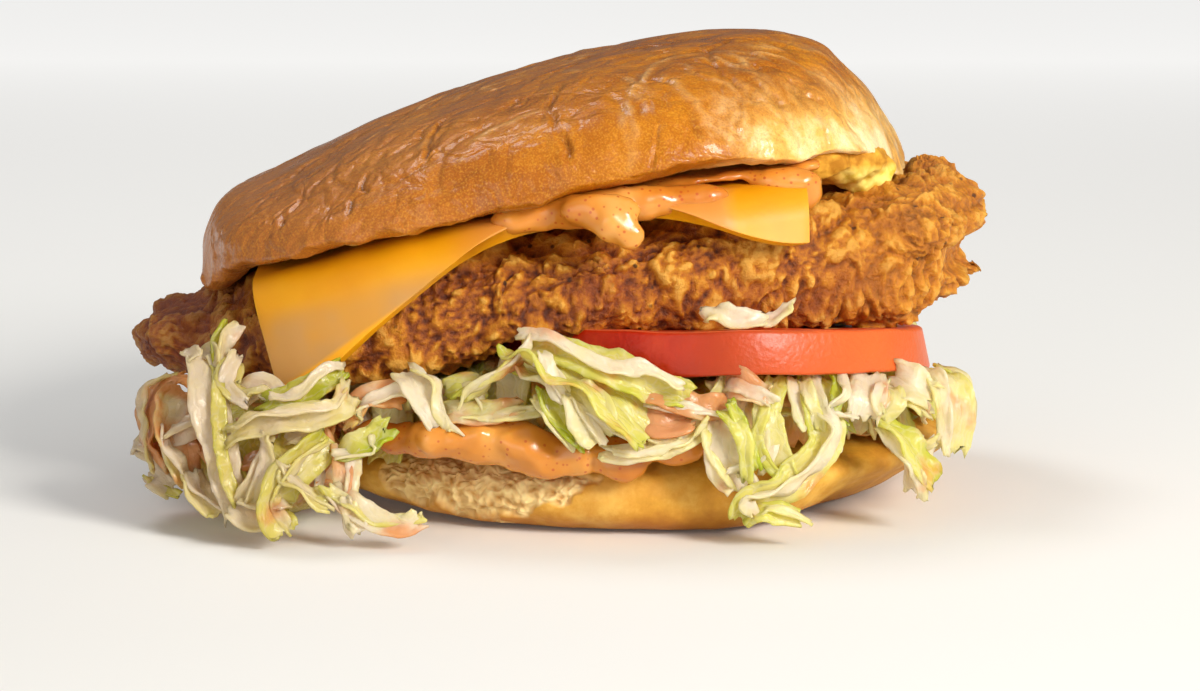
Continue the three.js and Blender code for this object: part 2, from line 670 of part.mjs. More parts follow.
// Creases of the baked skin: rays from a pinch near the top, and the deeper folds of the front
const CREASES = [
  [[15.5, -21.3], [9.2, -25.5], [6.1, -34.1], [4.2, -40.7], [5.2, -46.2]],
  [[16, -21.3], [22.5, -21.3], [29.5, -21.5], [35.7, -22.8], [40.5, -21.8]],
  [[15.8, -20], [20, -13], [21, -4], [17, 8]],
  [[-5.7, -29], [-7.8, -38.4], [-6.1, -43.7], [-4.4, -47]],
  [[-7.8, -38.4], [-12, -38.9], [-16.5, -40.1], [-19.7, -42.3]],
  [[21.1, -35.6], [20.5, -40.5], [20, -43.6]],
  [[-35.4, -36], [-36.1, -40], [-35.1, -41.4], [-36.8, -42.6]],
  [[-23.5, -27], [-26.1, -34.1], [-26.1, -39.9], [-26.7, -43.7]],
  [[-41.3, -20.5], [-41.6, -33.7], [-39.1, -37.4], [-36.1, -40]],
  [[-30, 8], [-20, 18], [-8, 26], [4, 38]],
];

// The rim is nearly round, with a fuller front left
function crownOutline(a) {
  const fuller = 2.6 * Math.exp(-(((a < 0 ? a + 2.4 : a - 3.9) / 0.4) ** 2));
  return oval(CROWN.long, CROWN.deep, 2.1)(a) + fuller + 0.8 * noise(2 * Math.cos(a), 2 * Math.sin(a), 71);
}

function crown() {
  const body = layer({
    ...CROWN,
    radius: crownOutline,
    low: crownUnder,
    high: crownTop,
    around: 50,
    floor: 4,
    side: 6,
    roof: 6,
  });
  swell(body, (x, y, z) => 0.4 * noise(x / 13, y / 13, z / 13));
  const torn = lump([41, -31, 52.4], [4.6, 5.5, 3.4], 0.5, 1);
  return cut(solid(body).add(solid(torn)), ...CREASES.map((points) => crease(points)));
}

// Each neighbour of a layer, a little larger, is cut out of it, so that no two solids share space
const filletSolid = fillet();
const filletRoom = fillet(GAP);
const heelSolid = solid(heel());
const heelRoom = solid(swell(heel(), () => GAP));
const tomatoSolid = cut(solid(tomato()), filletRoom);
const tomatoRoom = solid(tomato(GAP));
const cheeseSolid = cut(solid(cheese()), filletRoom);
const cheeseRoom = solid(swell(cheese(), () => GAP));
const upperSauceSolid = cut(upperSauce(), filletRoom, cheeseRoom);
const lowerSauceSolid = cut(lowerSauce(), heelRoom, tomatoRoom);
const scrapSolid = cut(solid(scrap()), filletRoom, tomatoRoom);
const crownSolid = cut(crown(), filletRoom, cheeseRoom, upperSauceSolid);
const lettuceSolid = cut(lettuce(), heelRoom, tomatoRoom, filletRoom, lowerSauce(GAP), cheeseRoom);

const BUN_CROWN = { color: 0xc9832f, roughness: 0.38 };
const BUN_HEEL = { color: 0xdba95c, roughness: 0.6 };
const CRUST = { color: 0xb8701f, roughness: 0.62 };
const LETTUCE = { color: 0xdfe0a0, roughness: 0.4 };
const SAUCE = { color: 0xe0935a, roughness: 0.3 };
const TOMATO_RED = { color: 0xd94a28, roughness: 0.28 };
const CHEESE_YELLOW = { color: 0xf0a81c, roughness: 0.4 };

const burger = new THREE.Group();

function add(name, made, finish) {
  const mesh = made.getMesh();
  const geometry = new THREE.BufferGeometry()
    .setAttribute("position", new THREE.Float32BufferAttribute(Array.from(mesh.vertProperties), 3))
    .setIndex(Array.from(mesh.triVerts));
  const node = new THREE.Mesh(geometry, new THREE.MeshStandardMaterial({ ...finish, metalness: 0 }));
  node.name = name;
  burger.add(node);
  console.log(name, mesh.triVerts.length / 3, "triangles,", (made.volume() / 1000).toFixed(1), "cm3");
}

add("heel", heelSolid, BUN_HEEL);
add("lower_sauce", lowerSauceSolid, SAUCE);
add("lettuce", lettuceSolid, LETTUCE);
add("tomato", tomatoSolid, TOMATO_RED);
add("lettuce_scrap", scrapSolid, LETTUCE);
add("fillet", filletSolid, CRUST);
add("cheese", cheeseSolid, CHEESE_YELLOW);
add("upper_sauce", upperSauceSolid, SAUCE);
add("crown", crownSolid, BUN_CROWN);

const box = new THREE.Box3().setFromObject(burger);
const middle = box.getCenter(new THREE.Vector3());
burger.position.set(-middle.x, -middle.y, -box.min.z);

export default burger;
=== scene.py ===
# %% [markdown]
# # A fried chicken burger
# The solids give each layer its size and place. This lesson dresses them: every layer becomes a soft,
# uneven piece with its own skin, and the shredded lettuce is laid leaf by leaf over the heap. The first
# cell loads the solids.

# %% Load the solids
import math
import random

import bpy
import numpy as np
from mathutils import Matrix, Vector, noise
from mathutils.bvhtree import BVHTree


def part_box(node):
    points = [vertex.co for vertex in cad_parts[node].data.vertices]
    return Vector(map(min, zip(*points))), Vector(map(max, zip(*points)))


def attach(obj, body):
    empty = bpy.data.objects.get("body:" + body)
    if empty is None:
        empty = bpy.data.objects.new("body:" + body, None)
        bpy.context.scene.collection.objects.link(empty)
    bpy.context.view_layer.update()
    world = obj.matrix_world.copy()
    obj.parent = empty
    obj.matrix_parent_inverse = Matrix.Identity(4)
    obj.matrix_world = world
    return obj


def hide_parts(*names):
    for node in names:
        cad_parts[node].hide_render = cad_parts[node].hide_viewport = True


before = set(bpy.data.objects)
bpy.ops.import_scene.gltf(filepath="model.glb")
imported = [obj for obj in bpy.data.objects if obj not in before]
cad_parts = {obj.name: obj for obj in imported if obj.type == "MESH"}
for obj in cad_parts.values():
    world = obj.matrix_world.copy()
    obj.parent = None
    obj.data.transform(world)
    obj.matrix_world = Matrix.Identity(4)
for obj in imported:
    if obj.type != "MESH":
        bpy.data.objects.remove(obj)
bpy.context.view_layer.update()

MM = 0.001
print("solids:", sorted(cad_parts))

# %% [markdown]
# All places below are in millimetres from the middle of the bun, which is handy for a round object. The
# solids are centred on their own box instead, so one vector carries every place over. It is worked out from
# the heel, whose box is known in both.

# %% Places in millimetres
HEEL_BOX_MIDDLE = (4.45, 0.2)
heel_low, heel_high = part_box("heel")
SHIFT = Vector(
    (
        (heel_low[0] + heel_high[0]) / 2 - HEEL_BOX_MIDDLE[0] * MM,
        (heel_low[1] + heel_high[1]) / 2 - HEEL_BOX_MIDDLE[1] * MM,
        0,
    )
)


def at(x, y, z):
    return Vector((x, y, z)) * MM + SHIFT


print("shift in mm:", [round(v / MM, 2) for v in SHIFT])

# %% [markdown]
# ## Camera
# The photo looks slightly down on the burger from the front. Its flat perspective means a long lens, from
# about half a metre away.

# %% Camera
CAMERA_RISE = math.radians(9)
CAMERA_REACH = 495
AIM_HEIGHT = 21.8
camera_data = bpy.data.cameras.new("camera")
camera_data.lens = 90
camera_data.sensor_width = 36
camera = bpy.data.objects.new("camera", camera_data)
bpy.context.scene.collection.objects.link(camera)
bpy.context.scene.camera = camera
camera.location = at(
    0,
    -CAMERA_REACH * math.cos(CAMERA_RISE),
    AIM_HEIGHT + CAMERA_REACH * math.sin(CAMERA_RISE),
)
aim = at(0, 0, AIM_HEIGHT)
camera.rotation_euler = (aim - camera.location).to_track_quat("-Z", "Y").to_euler()
print("camera at", [round(v, 3) for v in camera.location])

# %% [markdown]
# ## Floor and light
# A pale floor and soft lights: a large warm one from the upper right that makes the right end of the crown
# and the cheese bright, a wide fill from the left front, and one behind and above that draws the glaze on
# the crown. The white surroundings are dimmer towards the back, because their reflection on a glossy crust
# seen at a low angle would lay a grey haze over its colour.

# %% Floor and light
bpy.ops.object.select_all(action="DESELECT")
bpy.ops.mesh.primitive_plane_add(size=8, location=(0, 0, 0))
floor = bpy.context.object
floor.name = "floor"


def soft_light(name, place, size, power, colour):
    data = bpy.data.lights.new(name, "AREA")
    data.shape = "DISK"
    data.size = size
    data.energy = power
    data.color = colour
    lamp = bpy.data.objects.new(name, data)
    bpy.context.scene.collection.objects.link(lamp)
    lamp.location = Vector(place)
    lamp.rotation_euler = (aim - lamp.location).to_track_quat("-Z", "Y").to_euler()
    return lamp


soft_light("key_light", (0.52, -0.6, 0.42), 0.3, 8.0, (1.0, 0.97, 0.92))
soft_light("fill_light", (-0.45, -0.85, 0.2), 0.6, 1.6, (1.0, 0.97, 0.93))
soft_light("top_light", (-0.25, 0.2, 0.7), 0.25, 1.3, (0.93, 0.96, 1.0))
world = bpy.data.worlds.new("studio")
bpy.context.scene.world = world
world.use_nodes = True
world_nodes, world_links = world.node_tree.nodes, world.node_tree.links
direction = world_nodes.new("ShaderNodeTexCoord").outputs["Generated"]
towards_back = world_nodes.new("ShaderNodeSeparateXYZ")
world_links.new(direction, towards_back.inputs["Vector"])
dimmed = world_nodes.new("ShaderNodeMapRange")
for socket, value in (("From Min", -0.2), ("From Max", 0.7), ("To Min", 1.0), ("To Max", 0.35)):
    dimmed.inputs[socket].default_value = value
world_links.new(towards_back.outputs["Y"], dimmed.inputs["Value"])
world_links.new(dimmed.outputs["Result"], world_nodes["Background"].inputs["Color"])
world_nodes["Background"].inputs["Strength"].default_value = 0.46
bpy.context.scene.view_settings.view_transform = "Standard"

# %% [markdown]
# ## Putting a material together
# Colours are written as the hex values that a picture program shows, and turned to the linear values that
# the renderer works in. A Finish is a material being put together. Its add method makes one node, with its
# numbers, colours and links, and gives back an output. The others are short words for the nodes that come
# again and again.


# %% Colours and nodes
def linear(code):
    parts = [int(code[i : i + 2], 16) / 255 for i in (1, 3, 5)]
    return (*[p / 12.92 if p <= 0.04045 else ((p + 0.055) / 1.055) ** 2.4 for p in parts], 1)


class Finish:
    """A material being put together. Scales are in waves for each metre, and distances in metres."""

    def __init__(self, name, **sockets):
        self.material = bpy.data.materials.new(name)
        self.material.use_nodes = True
        self.shader = self.material.node_tree.nodes["Principled BSDF"]
        self.set(**sockets)
        self.where = self.add("ShaderNodeTexCoord", "Object")

    def fill(self, node, inputs):
        for name, value in inputs.items():
            if isinstance(value, bpy.types.NodeSocket):
                self.material.node_tree.links.new(value, node.inputs[name])
            else:
                node.inputs[name].default_value = linear(value) if isinstance(value, str) else value

    def set(self, **sockets):
        self.fill(self.shader, {name.replace("_", " "): value for name, value in sockets.items()})

    def add(self, kind, output, inputs=None, **settings):
        made = self.material.node_tree.nodes.new(kind)
        for name, value in settings.items():
            setattr(made, name, value)
        self.fill(made, inputs or {})
        return made.outputs[output]

    def kept(self, name, output="Fac"):
        """A number that was stored with the points."""
        return self.add("ShaderNodeAttribute", output, attribute_name=name)

    def axis(self, letter, vector=None):
        return self.add("ShaderNodeSeparateXYZ", letter, {"Vector": vector or self.where})

    def noise(self, scale, detail=2.0, roughness=0.5, place=None, output="Fac"):
        numbers = {"Scale": scale, "Detail": detail, "Roughness": roughness}
        return self.add("ShaderNodeTexNoise", output, {"Vector": place or self.where, **numbers})

    def scatter(self, scale, place=None, feature="F1"):
        """Distance to the nearest of scattered points, or to the edge between two of their cells."""
        inputs = {"Vector": place or self.where, "Scale": scale}
        return self.add("ShaderNodeTexVoronoi", "Distance", inputs, feature=feature)

    def spread(self, value, low, high, top=1.0, bottom=0.0, curve="LINEAR"):
        """Brings low..high to bottom..top."""
        inputs = {"Value": value, "From Min": low, "From Max": high, "To Min": bottom, "To Max": top}
        return self.add("ShaderNodeMapRange", "Result", inputs, interpolation_type=curve)

    def ease(self, value, low, high, top=1.0, bottom=0.0):
        return self.spread(value, low, high, top, bottom, "SMOOTHSTEP")

    def times(self, a, b):
        return self.add("ShaderNodeMath", 0, {0: a, 1: b}, operation="MULTIPLY")

    def shifted(self, a, b, c):
        """a times b plus c."""
        return self.add("ShaderNodeMath", 0, {0: a, 1: b, 2: c}, operation="MULTIPLY_ADD")

    def vectors(self, operation, *values, output="Vector"):
        return self.add("ShaderNodeVectorMath", output, dict(enumerate(values)), operation=operation)

    def ramp(self, factor, *stops):
        made = self.add("ShaderNodeValToRGB", "Color", {"Fac": factor})
        elements = made.node.color_ramp.elements
        while len(elements) < len(stops):
            elements.new(0.5)
        for element, (place, colour) in zip(elements, stops):
            element.position = place
            element.color = linear(colour)
        return made

    def mix(self, factor, a, b):
        inputs = {"Factor": factor, 6: a, 7: b}
        return self.add("ShaderNodeMix", 2, inputs, data_type="RGBA", clamp_factor=True)

    def bump(self, height, strength, distance, under=None):
        inputs = {"Height": height, "Strength": strength, "Distance": distance}
        return self.add("ShaderNodeBump", "Normal", {**inputs, "Normal": under} if under else inputs)

    def soft(self, weight, radius, scale):
        """Light that goes a little way in and comes out again."""
        self.set(Subsurface_Weight=weight, Subsurface_Radius=radius, Subsurface_Scale=scale)


print("white is", linear("#FFFFFF"))

paper = Finish("matt paper", Roughness=0.9, Base_Color="#EFEDE8", Emission_Color=(1, 1, 1, 1))
paper.set(Emission_Strength=paper.spread(paper.axis("Y"), -0.1, 1.1, 0.55))
floor.data.materials.append(paper.material)

# %% [markdown]
# ## From a faceted solid to a soft one
# The solids have large flat faces. A copy is merged, remeshed into even voxels, smoothed until the faces
# are gone, and divided again, which gives small even quads to sculpt on. The sculpting moves each point
# along its normal by an amount that depends on where it is, all worked out in arrays.


# %% Soft copies and sculpting
def choose(*objects):
    bpy.ops.object.select_all(action="DESELECT")
    for obj in objects:
        obj.select_set(True)
    bpy.context.view_layer.objects.active = objects[0]


def apply_modifier(obj, kind, **settings):
    choose(obj)
    modifier = obj.modifiers.new(kind.lower(), kind)
    for name, value in settings.items():
        setattr(modifier, name, value)
    bpy.ops.object.modifier_apply(modifier=modifier.name)


def soft_copy(node, name, voxel, rounds, levels):
    obj = bpy.data.objects.new(name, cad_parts[node].data.copy())
    bpy.context.scene.collection.objects.link(obj)
    obj.data.materials.clear()
    choose(obj)
    bpy.ops.object.mode_set(mode="EDIT")
    bpy.ops.mesh.select_all(action="SELECT")
    bpy.ops.mesh.remove_doubles(threshold=0.01 * MM)
    bpy.ops.object.mode_set(mode="OBJECT")
    apply_modifier(obj, "REMESH", mode="VOXEL", voxel_size=voxel * MM)
    if rounds:
        apply_modifier(obj, "SMOOTH", factor=0.5, iterations=rounds)
    if levels:
        apply_modifier(obj, "SUBSURF", levels=levels, render_levels=levels)
    shade_smooth(obj)
    return obj


def refine(obj, wanted, cuts, rounds):
    """Divides the faces for which wanted(places, normals) is true, then smooths the new points."""
    count = len(obj.data.polygons)
    centres, normals = np.empty(count * 3), np.empty(count * 3)
    obj.data.polygons.foreach_get("center", centres)
    obj.data.polygons.foreach_get("normal", normals)
    centres = (centres.reshape(-1, 3) - np.array(SHIFT)) / MM
    chosen = wanted(centres, normals.reshape(-1, 3))
    choose(obj)
    bpy.ops.object.mode_set(mode="EDIT")
    bpy.ops.mesh.select_mode(type="FACE")
    bpy.ops.mesh.select_all(action="DESELECT")
    bpy.ops.object.mode_set(mode="OBJECT")
    obj.data.polygons.foreach_set("select", chosen)
    bpy.ops.object.mode_set(mode="EDIT")
    bpy.ops.mesh.subdivide(number_cuts=cuts)
    bpy.ops.object.mode_set(mode="OBJECT")
    apply_modifier(obj, "SMOOTH", factor=0.5, iterations=rounds)


def points_of(obj):
    """The points in millimetres from the bun's middle, and their normals, as rows."""
    count = len(obj.data.vertices)
    places = np.empty(count * 3)
    obj.data.vertices.foreach_get("co", places)
    normals = np.empty(count * 3)
    obj.data.vertex_normals.foreach_get("vector", normals)
    return (places.reshape(-1, 3) - np.array(SHIFT)) / MM, normals.reshape(-1, 3)


def set_points(obj, places):
    obj.data.vertices.foreach_set("co", (places * MM + np.array(SHIFT)).ravel())
    obj.data.update()


def push(obj, amounts):
    places, normals = points_of(obj)
    set_points(obj, places + normals * np.asarray(amounts)[:, None])


def store(obj, name, values):
    """Keeps one number for each point, or one row of three, for the material to read."""
    kind, field = ("FLOAT", "value") if values.ndim == 1 else ("FLOAT_VECTOR", "vector")
    obj.data.attributes.new(name, kind, "POINT").data.foreach_set(field, values.ravel())


def rough(places, size, seed=0):
    """Smooth noise in -1..1 with humps about size mm across."""
    offset = Vector((seed * 7.3, seed * 3.1, seed * 5.7))
    return np.array([noise.noise(Vector(p) / size + offset) for p in places])


def cells(places, size, seed=0):
    """Distance to the nearest and to the second nearest of points scattered about size mm apart."""
    offset = Vector((seed * 4.9, seed * 8.3, seed * 2.7))
    found = [noise.voronoi(Vector(p) / size + offset)[0] for p in places]
    return np.array([d[0] for d in found]), np.array([d[1] for d in found])


def ball(place, size):
    """A ball stretched to size, in mm, at a place."""
    bpy.ops.object.select_all(action="DESELECT")
    bpy.ops.mesh.primitive_uv_sphere_add(segments=24, ring_count=16, radius=MM, location=at(*place))
    bpy.ops.transform.resize(value=size, center_override=at(*place))
    bpy.ops.object.transform_apply(location=True, rotation=True, scale=True)
    return bpy.context.object


def shade_smooth(obj):
    choose(obj)
    bpy.ops.object.shade_smooth()


def bend(places, size, amount, seeds):
    """The places, each moved by noise, so that a pattern read there has no straight lines."""
    return places + amount * np.stack([rough(places, size, seed) for seed in seeds], axis=1)


def smooth_step(low, high, values):
    t = np.clip((values - low) / (high - low), 0, 1)
    return t * t * (3 - 2 * t)


def bell(values, middle, wide):
    """1 at the middle, falling off to both sides to a third at the given width."""
    return np.exp(-(((values - middle) / wide) ** 2))


def finish_piece(obj, material, slot, *nodes):
    obj.data.materials.append(material)
    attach(obj, "root")
    if nodes:
        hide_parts(*nodes)
    triangles = sum(len(p.vertices) - 2 for p in obj.data.polygons)
    size = [round(v / MM, 1) for v in obj.dimensions]
    print(obj.name, triangles, "triangles, size in mm", size)
    return obj


# %% [markdown]
# ## The crown
# The crown is the glazed top of a soft bun: a thin shiny skin that has wrinkled and puckered over the soft
# crumb. The creases are lines pressed into the skin, with a little raised fold beside them. Each line is a
# row of points on the crown, snapped to its surface; a point near the line is pushed in by a bell-shaped
# amount of its distance.

# %% Crease lines
CREASES = [
    # points in mm, width in mm, and depth in mm: positive is pressed in, negative is a raised ridge
    ([(15.5, -21.3, 71.2), (9.2, -25.5, 69.9), (6.1, -34.1, 67.1), (4.2, -40.7, 63.9), (5.3, -45.4, 59.8),
        (5.0, -47.5, 55.8)], 0.5, -0.5),
    ([(16, -21.3, 71.2), (22.5, -21.3, 71), (29.5, -21.5, 70.1), (35.7, -22.8, 67.7), (41.7, -21.4, 63.9)],
        0.5, -0.4),
    ([(16.7, -22.9, 70.8), (17.5, -28.4, 69.3), (18.5, -34.4, 66.7)], 0.45, 0.5),
    ([(16, -21.3, 71.2), (18.9, -16.1, 72.1), (21.4, -11.9, 72.7)], 0.5, 0.4),
    ([(-5.7, -29, 67.2), (-7.8, -38.4, 63.7), (-6.1, -43.7, 60.8), (-4.4, -46.9, 58.2),
        (-4.4, -49.1, 52.5)], 0.45, 0.75),
    ([(-7.8, -38.4, 63.7), (-12, -38.9, 62.5), (-16.5, -40.1, 60.8), (-19.7, -42.3, 58.6)], 0.6, -0.45),
    ([(21.1, -35.6, 65.7), (20.5, -40.5, 61.6), (20, -42.6, 57.8)], 0.4, 0.4),
    ([(-35.4, -37, 55.3), (-36.1, -40, 52.2), (-35.1, -41.4, 51.5), (-36.8, -41.1, 49.8),
        (-36.9, -43.5, 46.2)], 0.42, 0.6),
    ([(-23.5, -27, 63.6), (-26.1, -34.1, 60.6), (-26.1, -39.9, 57.8), (-25.7, -42.1, 56.4),
        (-26.7, -43.7, 54.4)], 0.42, 0.6),
    ([(-41.3, -20.5, 58.7), (-41.6, -33.7, 53.7), (-39.1, -37.4, 52.6), (-36.1, -40, 52.2)], 0.5, 0.45),
    ([(-48.3, -33, 47.1), (-46.9, -36.6, 44.6)], 0.5, 0.5),
    ([(-30, 8, 67), (-20, 18, 68), (-8, 26, 68), (4, 38, 64)], 0.7, 0.55),
    ([(10, 30, 70), (22, 36, 66), (30, 44, 60)], 0.6, -0.4),
]


def small_creases():
    """Short fine wrinkles over the top and round the side, closest at the right end where it is pinched."""
    draw = random.Random(5)
    lines = []
    for i in range(190):
        pinched = i % 3 == 0
        turn = draw.uniform(-1.35, -0.1) if pinched else draw.uniform(-math.pi, math.pi)
        inner = draw.uniform(0.62, 0.9) if pinched or i % 2 else draw.uniform(0.05, 0.8)
        outer = inner + draw.uniform(0.05, 0.13)
        swing = draw.uniform(-0.09, 0.09) if inner > 0.6 else draw.uniform(-0.5, 0.5)
        bend = draw.uniform(-0.03, 0.03)
        line = []
        for k in range(5):
            share = k / 4
            out = inner + (outer - inner) * share + bend * math.sin(math.pi * share)
            angle = turn + swing * share
            x = -7 + 58 * out * math.cos(angle)
            y = 2 + 53 * out * math.sin(angle)
            line.append((x, y, 47 + 0.13 * x + 24 * math.sqrt(max(0.0, 1 - out**2.4))))
        raised = draw.random() < (0.75 if pinched else 0.4)
        deep = draw.uniform(0.12, 0.38) * (-1 if raised else 1)
        lines.append((line, draw.uniform(0.4, 0.8), deep))
    return lines


print(len(CREASES), "drawn creases and", len(small_creases()), "small ones")

# %% The crown's body
CROWN_TOP = 73.55
RIM_X = [-63.5, -61.4, -57.3, -54.3, -50.4, -47, -43.5, -38, -34, -30, -25, -20.7, -15]
RIM_Z = [40.4, 38.7, 38.2, 38.8, 39.8, 40, 41.2, 42.4, 43.7, 45.3, 47.5, 48.4, 50.1]
RIM_DROP = [3.8, 5.4, 2.4, 0.8, 0.5, -0.4, -0.8, -0.9, -0.5, 0, 0.8, 1.1, 1.2]
RIM_X += [-9, -3.5, 2.5, 10, 17, 24, 30, 34.6, 38.8, 43.8, 47.5, 52]
RIM_Z += [51.1, 52.4, 53.7, 54.3, 54.8, 56.7, 56.9, 56, 55, 53.2, 51.8, 52.3]
RIM_DROP += [1.6, 0.7, 0.5, 0.1, 0.1, 0.9, 1.7, 0.7, 0.3, 0.2, 0.1, 0.1]
crown = soft_copy("crown", "bun_crown", 2.72, 5, 1)
crown_places, crown_normals = points_of(crown)
# the lower edge swells outwards and sinks a little
corner = bell(crown_normals[:, 2], -0.45, 0.3)
level_part = np.linalg.norm(crown_normals[:, :2], axis=1)
outwards = crown_normals * np.array([1, 1, 0]) / (level_part + 0.2)[:, None]
crown_x, crown_y, crown_z = crown_places.T.copy()
crown_places += 0.9 * corner[:, None] * (outwards - np.array([0, 0, 0.4]))
# the front rim hangs lower or higher at each x, as RIM_DROP says
near_rim = smooth_step(11, 1, crown_z - np.interp(crown_x, RIM_X, RIM_Z))
left_tip = smooth_step(-52, -58, crown_x) * smooth_step(32, 14, crown_y)
in_front = np.maximum(smooth_step(6, -12, crown_y), left_tip)
crown_places[:, 2] -= np.interp(crown_x, RIM_X, RIM_DROP) * near_rim * in_front
# the shoulder at the right is cut back, the top is raised a little there, and the left end bulges
shoulder = smooth_step(34, 43, crown_x) * smooth_step(52, 63, crown_z) * smooth_step(74, 70.5, crown_z)
crown_places[:, 0] -= 1.5 * shoulder
crown_places[:, 2] -= 0.9 * shoulder
crown_places[:, 2] += 0.5 * bell(crown_x, 27, 7) * smooth_step(60, 68, crown_z)
crown_places[:, 0] -= 1.9 * bell(crown_z, 46.5, 4.5) * smooth_step(-48, -60, crown_x)
set_points(crown, crown_places)
refine(crown, lambda places, normals: normals[:, 2] > -0.3, 2, 2)
crown_tree = BVHTree.FromObject(crown, bpy.context.evaluated_depsgraph_get())


def drop_to_crown(x, y, z):
    """The point of the crown's skin nearest to a drawn one, or under it when z is only a start."""
    hit = crown_tree.find_nearest(at(x, y, z))[0]
    return (np.array(hit) - np.array(SHIFT)) / MM


def crease_amounts(places):
    """How far each point is pushed in or raised, with the painted shade of pressed creases and painted
    highlight of raised ones.
    """
    amounts, painted_shade, pale = np.zeros(len(places)), np.zeros(len(places)), np.zeros(len(places))
    for drawn, wide, deep in CREASES + small_creases():
        line = [drop_to_crown(*p) for p in drawn]
        samples = []
        for k in range(len(line) - 1):
            steps = max(2, int(np.linalg.norm(line[k + 1] - line[k]) / 0.4))
            for s in range(steps):
                samples.append(line[k] + (line[k + 1] - line[k]) * s / steps)
        samples = np.array(samples)
        samples = bend(samples, 2.6, 0.6, (71, 72, 73))
        reach = 8 * wide
        low, high = samples.min(0) - reach, samples.max(0) + reach
        near = np.where(((places > low) & (places < high)).all(1))[0]
        if not len(near):
            continue
        gaps = np.linalg.norm(places[near][:, None, :] - samples[None, :, :], axis=2)
        gap, nearest = gaps.min(1), gaps.argmin(1)
        share = nearest / max(1, len(samples) - 1)
        fade = np.clip(np.minimum(share, 1 - share) * 5 + 0.1, 0, 1)
        fade *= 0.75 + 0.7 * rough(samples, 5, 74)[nearest]
        middle = bell(gap, 0, wide) * fade
        beside = bell(gap, 2.2 * wide, 1.2 * wide) * fade
        around = bell(gap, 0, 5 * wide) * fade
        # pressed creases get painted shade, raised ridges a painted highlight
        if deep > 0:
            amounts[near] += deep * (0.35 * beside - middle - 0.35 * around)
            painted_shade[near] = np.maximum(painted_shade[near], middle * min(1, 2 * deep))
        else:
            amounts[near] -= deep * (0.8 * middle - 0.45 * around)
            pale[near] = np.maximum(pale[near], middle * min(1, -2.5 * deep))
    return amounts, painted_shade, pale


crown_places, crown_normals = points_of(crown)
in_skin = smooth_step(-0.998, -0.96, crown_normals[:, 2])
grooves, crease_shade_lines, ridge_highlight_lines = crease_amounts(crown_places)
dents = 0.4 * rough(crown_places, 14, 1) + 0.12 * rough(crown_places, 4.5, 2)
crumb = 0.35 * rough(crown_places, 1.6, 3) + 0.3 * rough(crown_places, 3.5, 4)
bent_skin = bend(crown_places, 6, 2.2, (94, 95, 96))
facet, next_facet = cells(bent_skin, 9.5, 97)
fold = bell(next_facet - facet, 0, 0.09)
puckered = smooth_step(-0.25, 0.2, rough(crown_places, 22, 98)) * smooth_step(42, 50, crown_places[:, 2])
puckered *= smooth_step(30, 5, crown_places[:, 0]) + smooth_step(18, 28, crown_places[:, 0])
facets = puckered * (0.25 - 0.62 * facet - 0.2 * fold)
rim = smooth_step(-0.25, -0.6, crown_normals[:, 2])
ragged_rim = rim * (0.3 * rough(crown_places, 1.3, 5) + 0.25 * rough(crown_places, 3, 6))
push(crown, in_skin * (0.9 * grooves + dents + facets) + (1 - in_skin) * crumb + ragged_rim)
crown_places, _ = points_of(crown)
# the right end of the rim hangs down beside the arch
tip = bell(crown_places[:, 0], 50, 5.5) * smooth_step(66, 54, crown_places[:, 2])
crown_places[:, 2] -= 4.2 * tip * smooth_step(5, -20, crown_places[:, 1])
crown_places[:, 2] = np.minimum(crown_places[:, 2], CROWN_TOP)
set_points(crown, crown_places)
# painted shade along the creases and the fold lines, painted highlight on the raised ridges
store(crown, "crease_shade", np.clip((0.6 * crease_shade_lines + 0.25 * puckered * fold) * in_skin, 0, 1))
store(crown, "ridge_highlight", np.clip(ridge_highlight_lines * in_skin, 0, 1))
store(crown, "skin", in_skin)
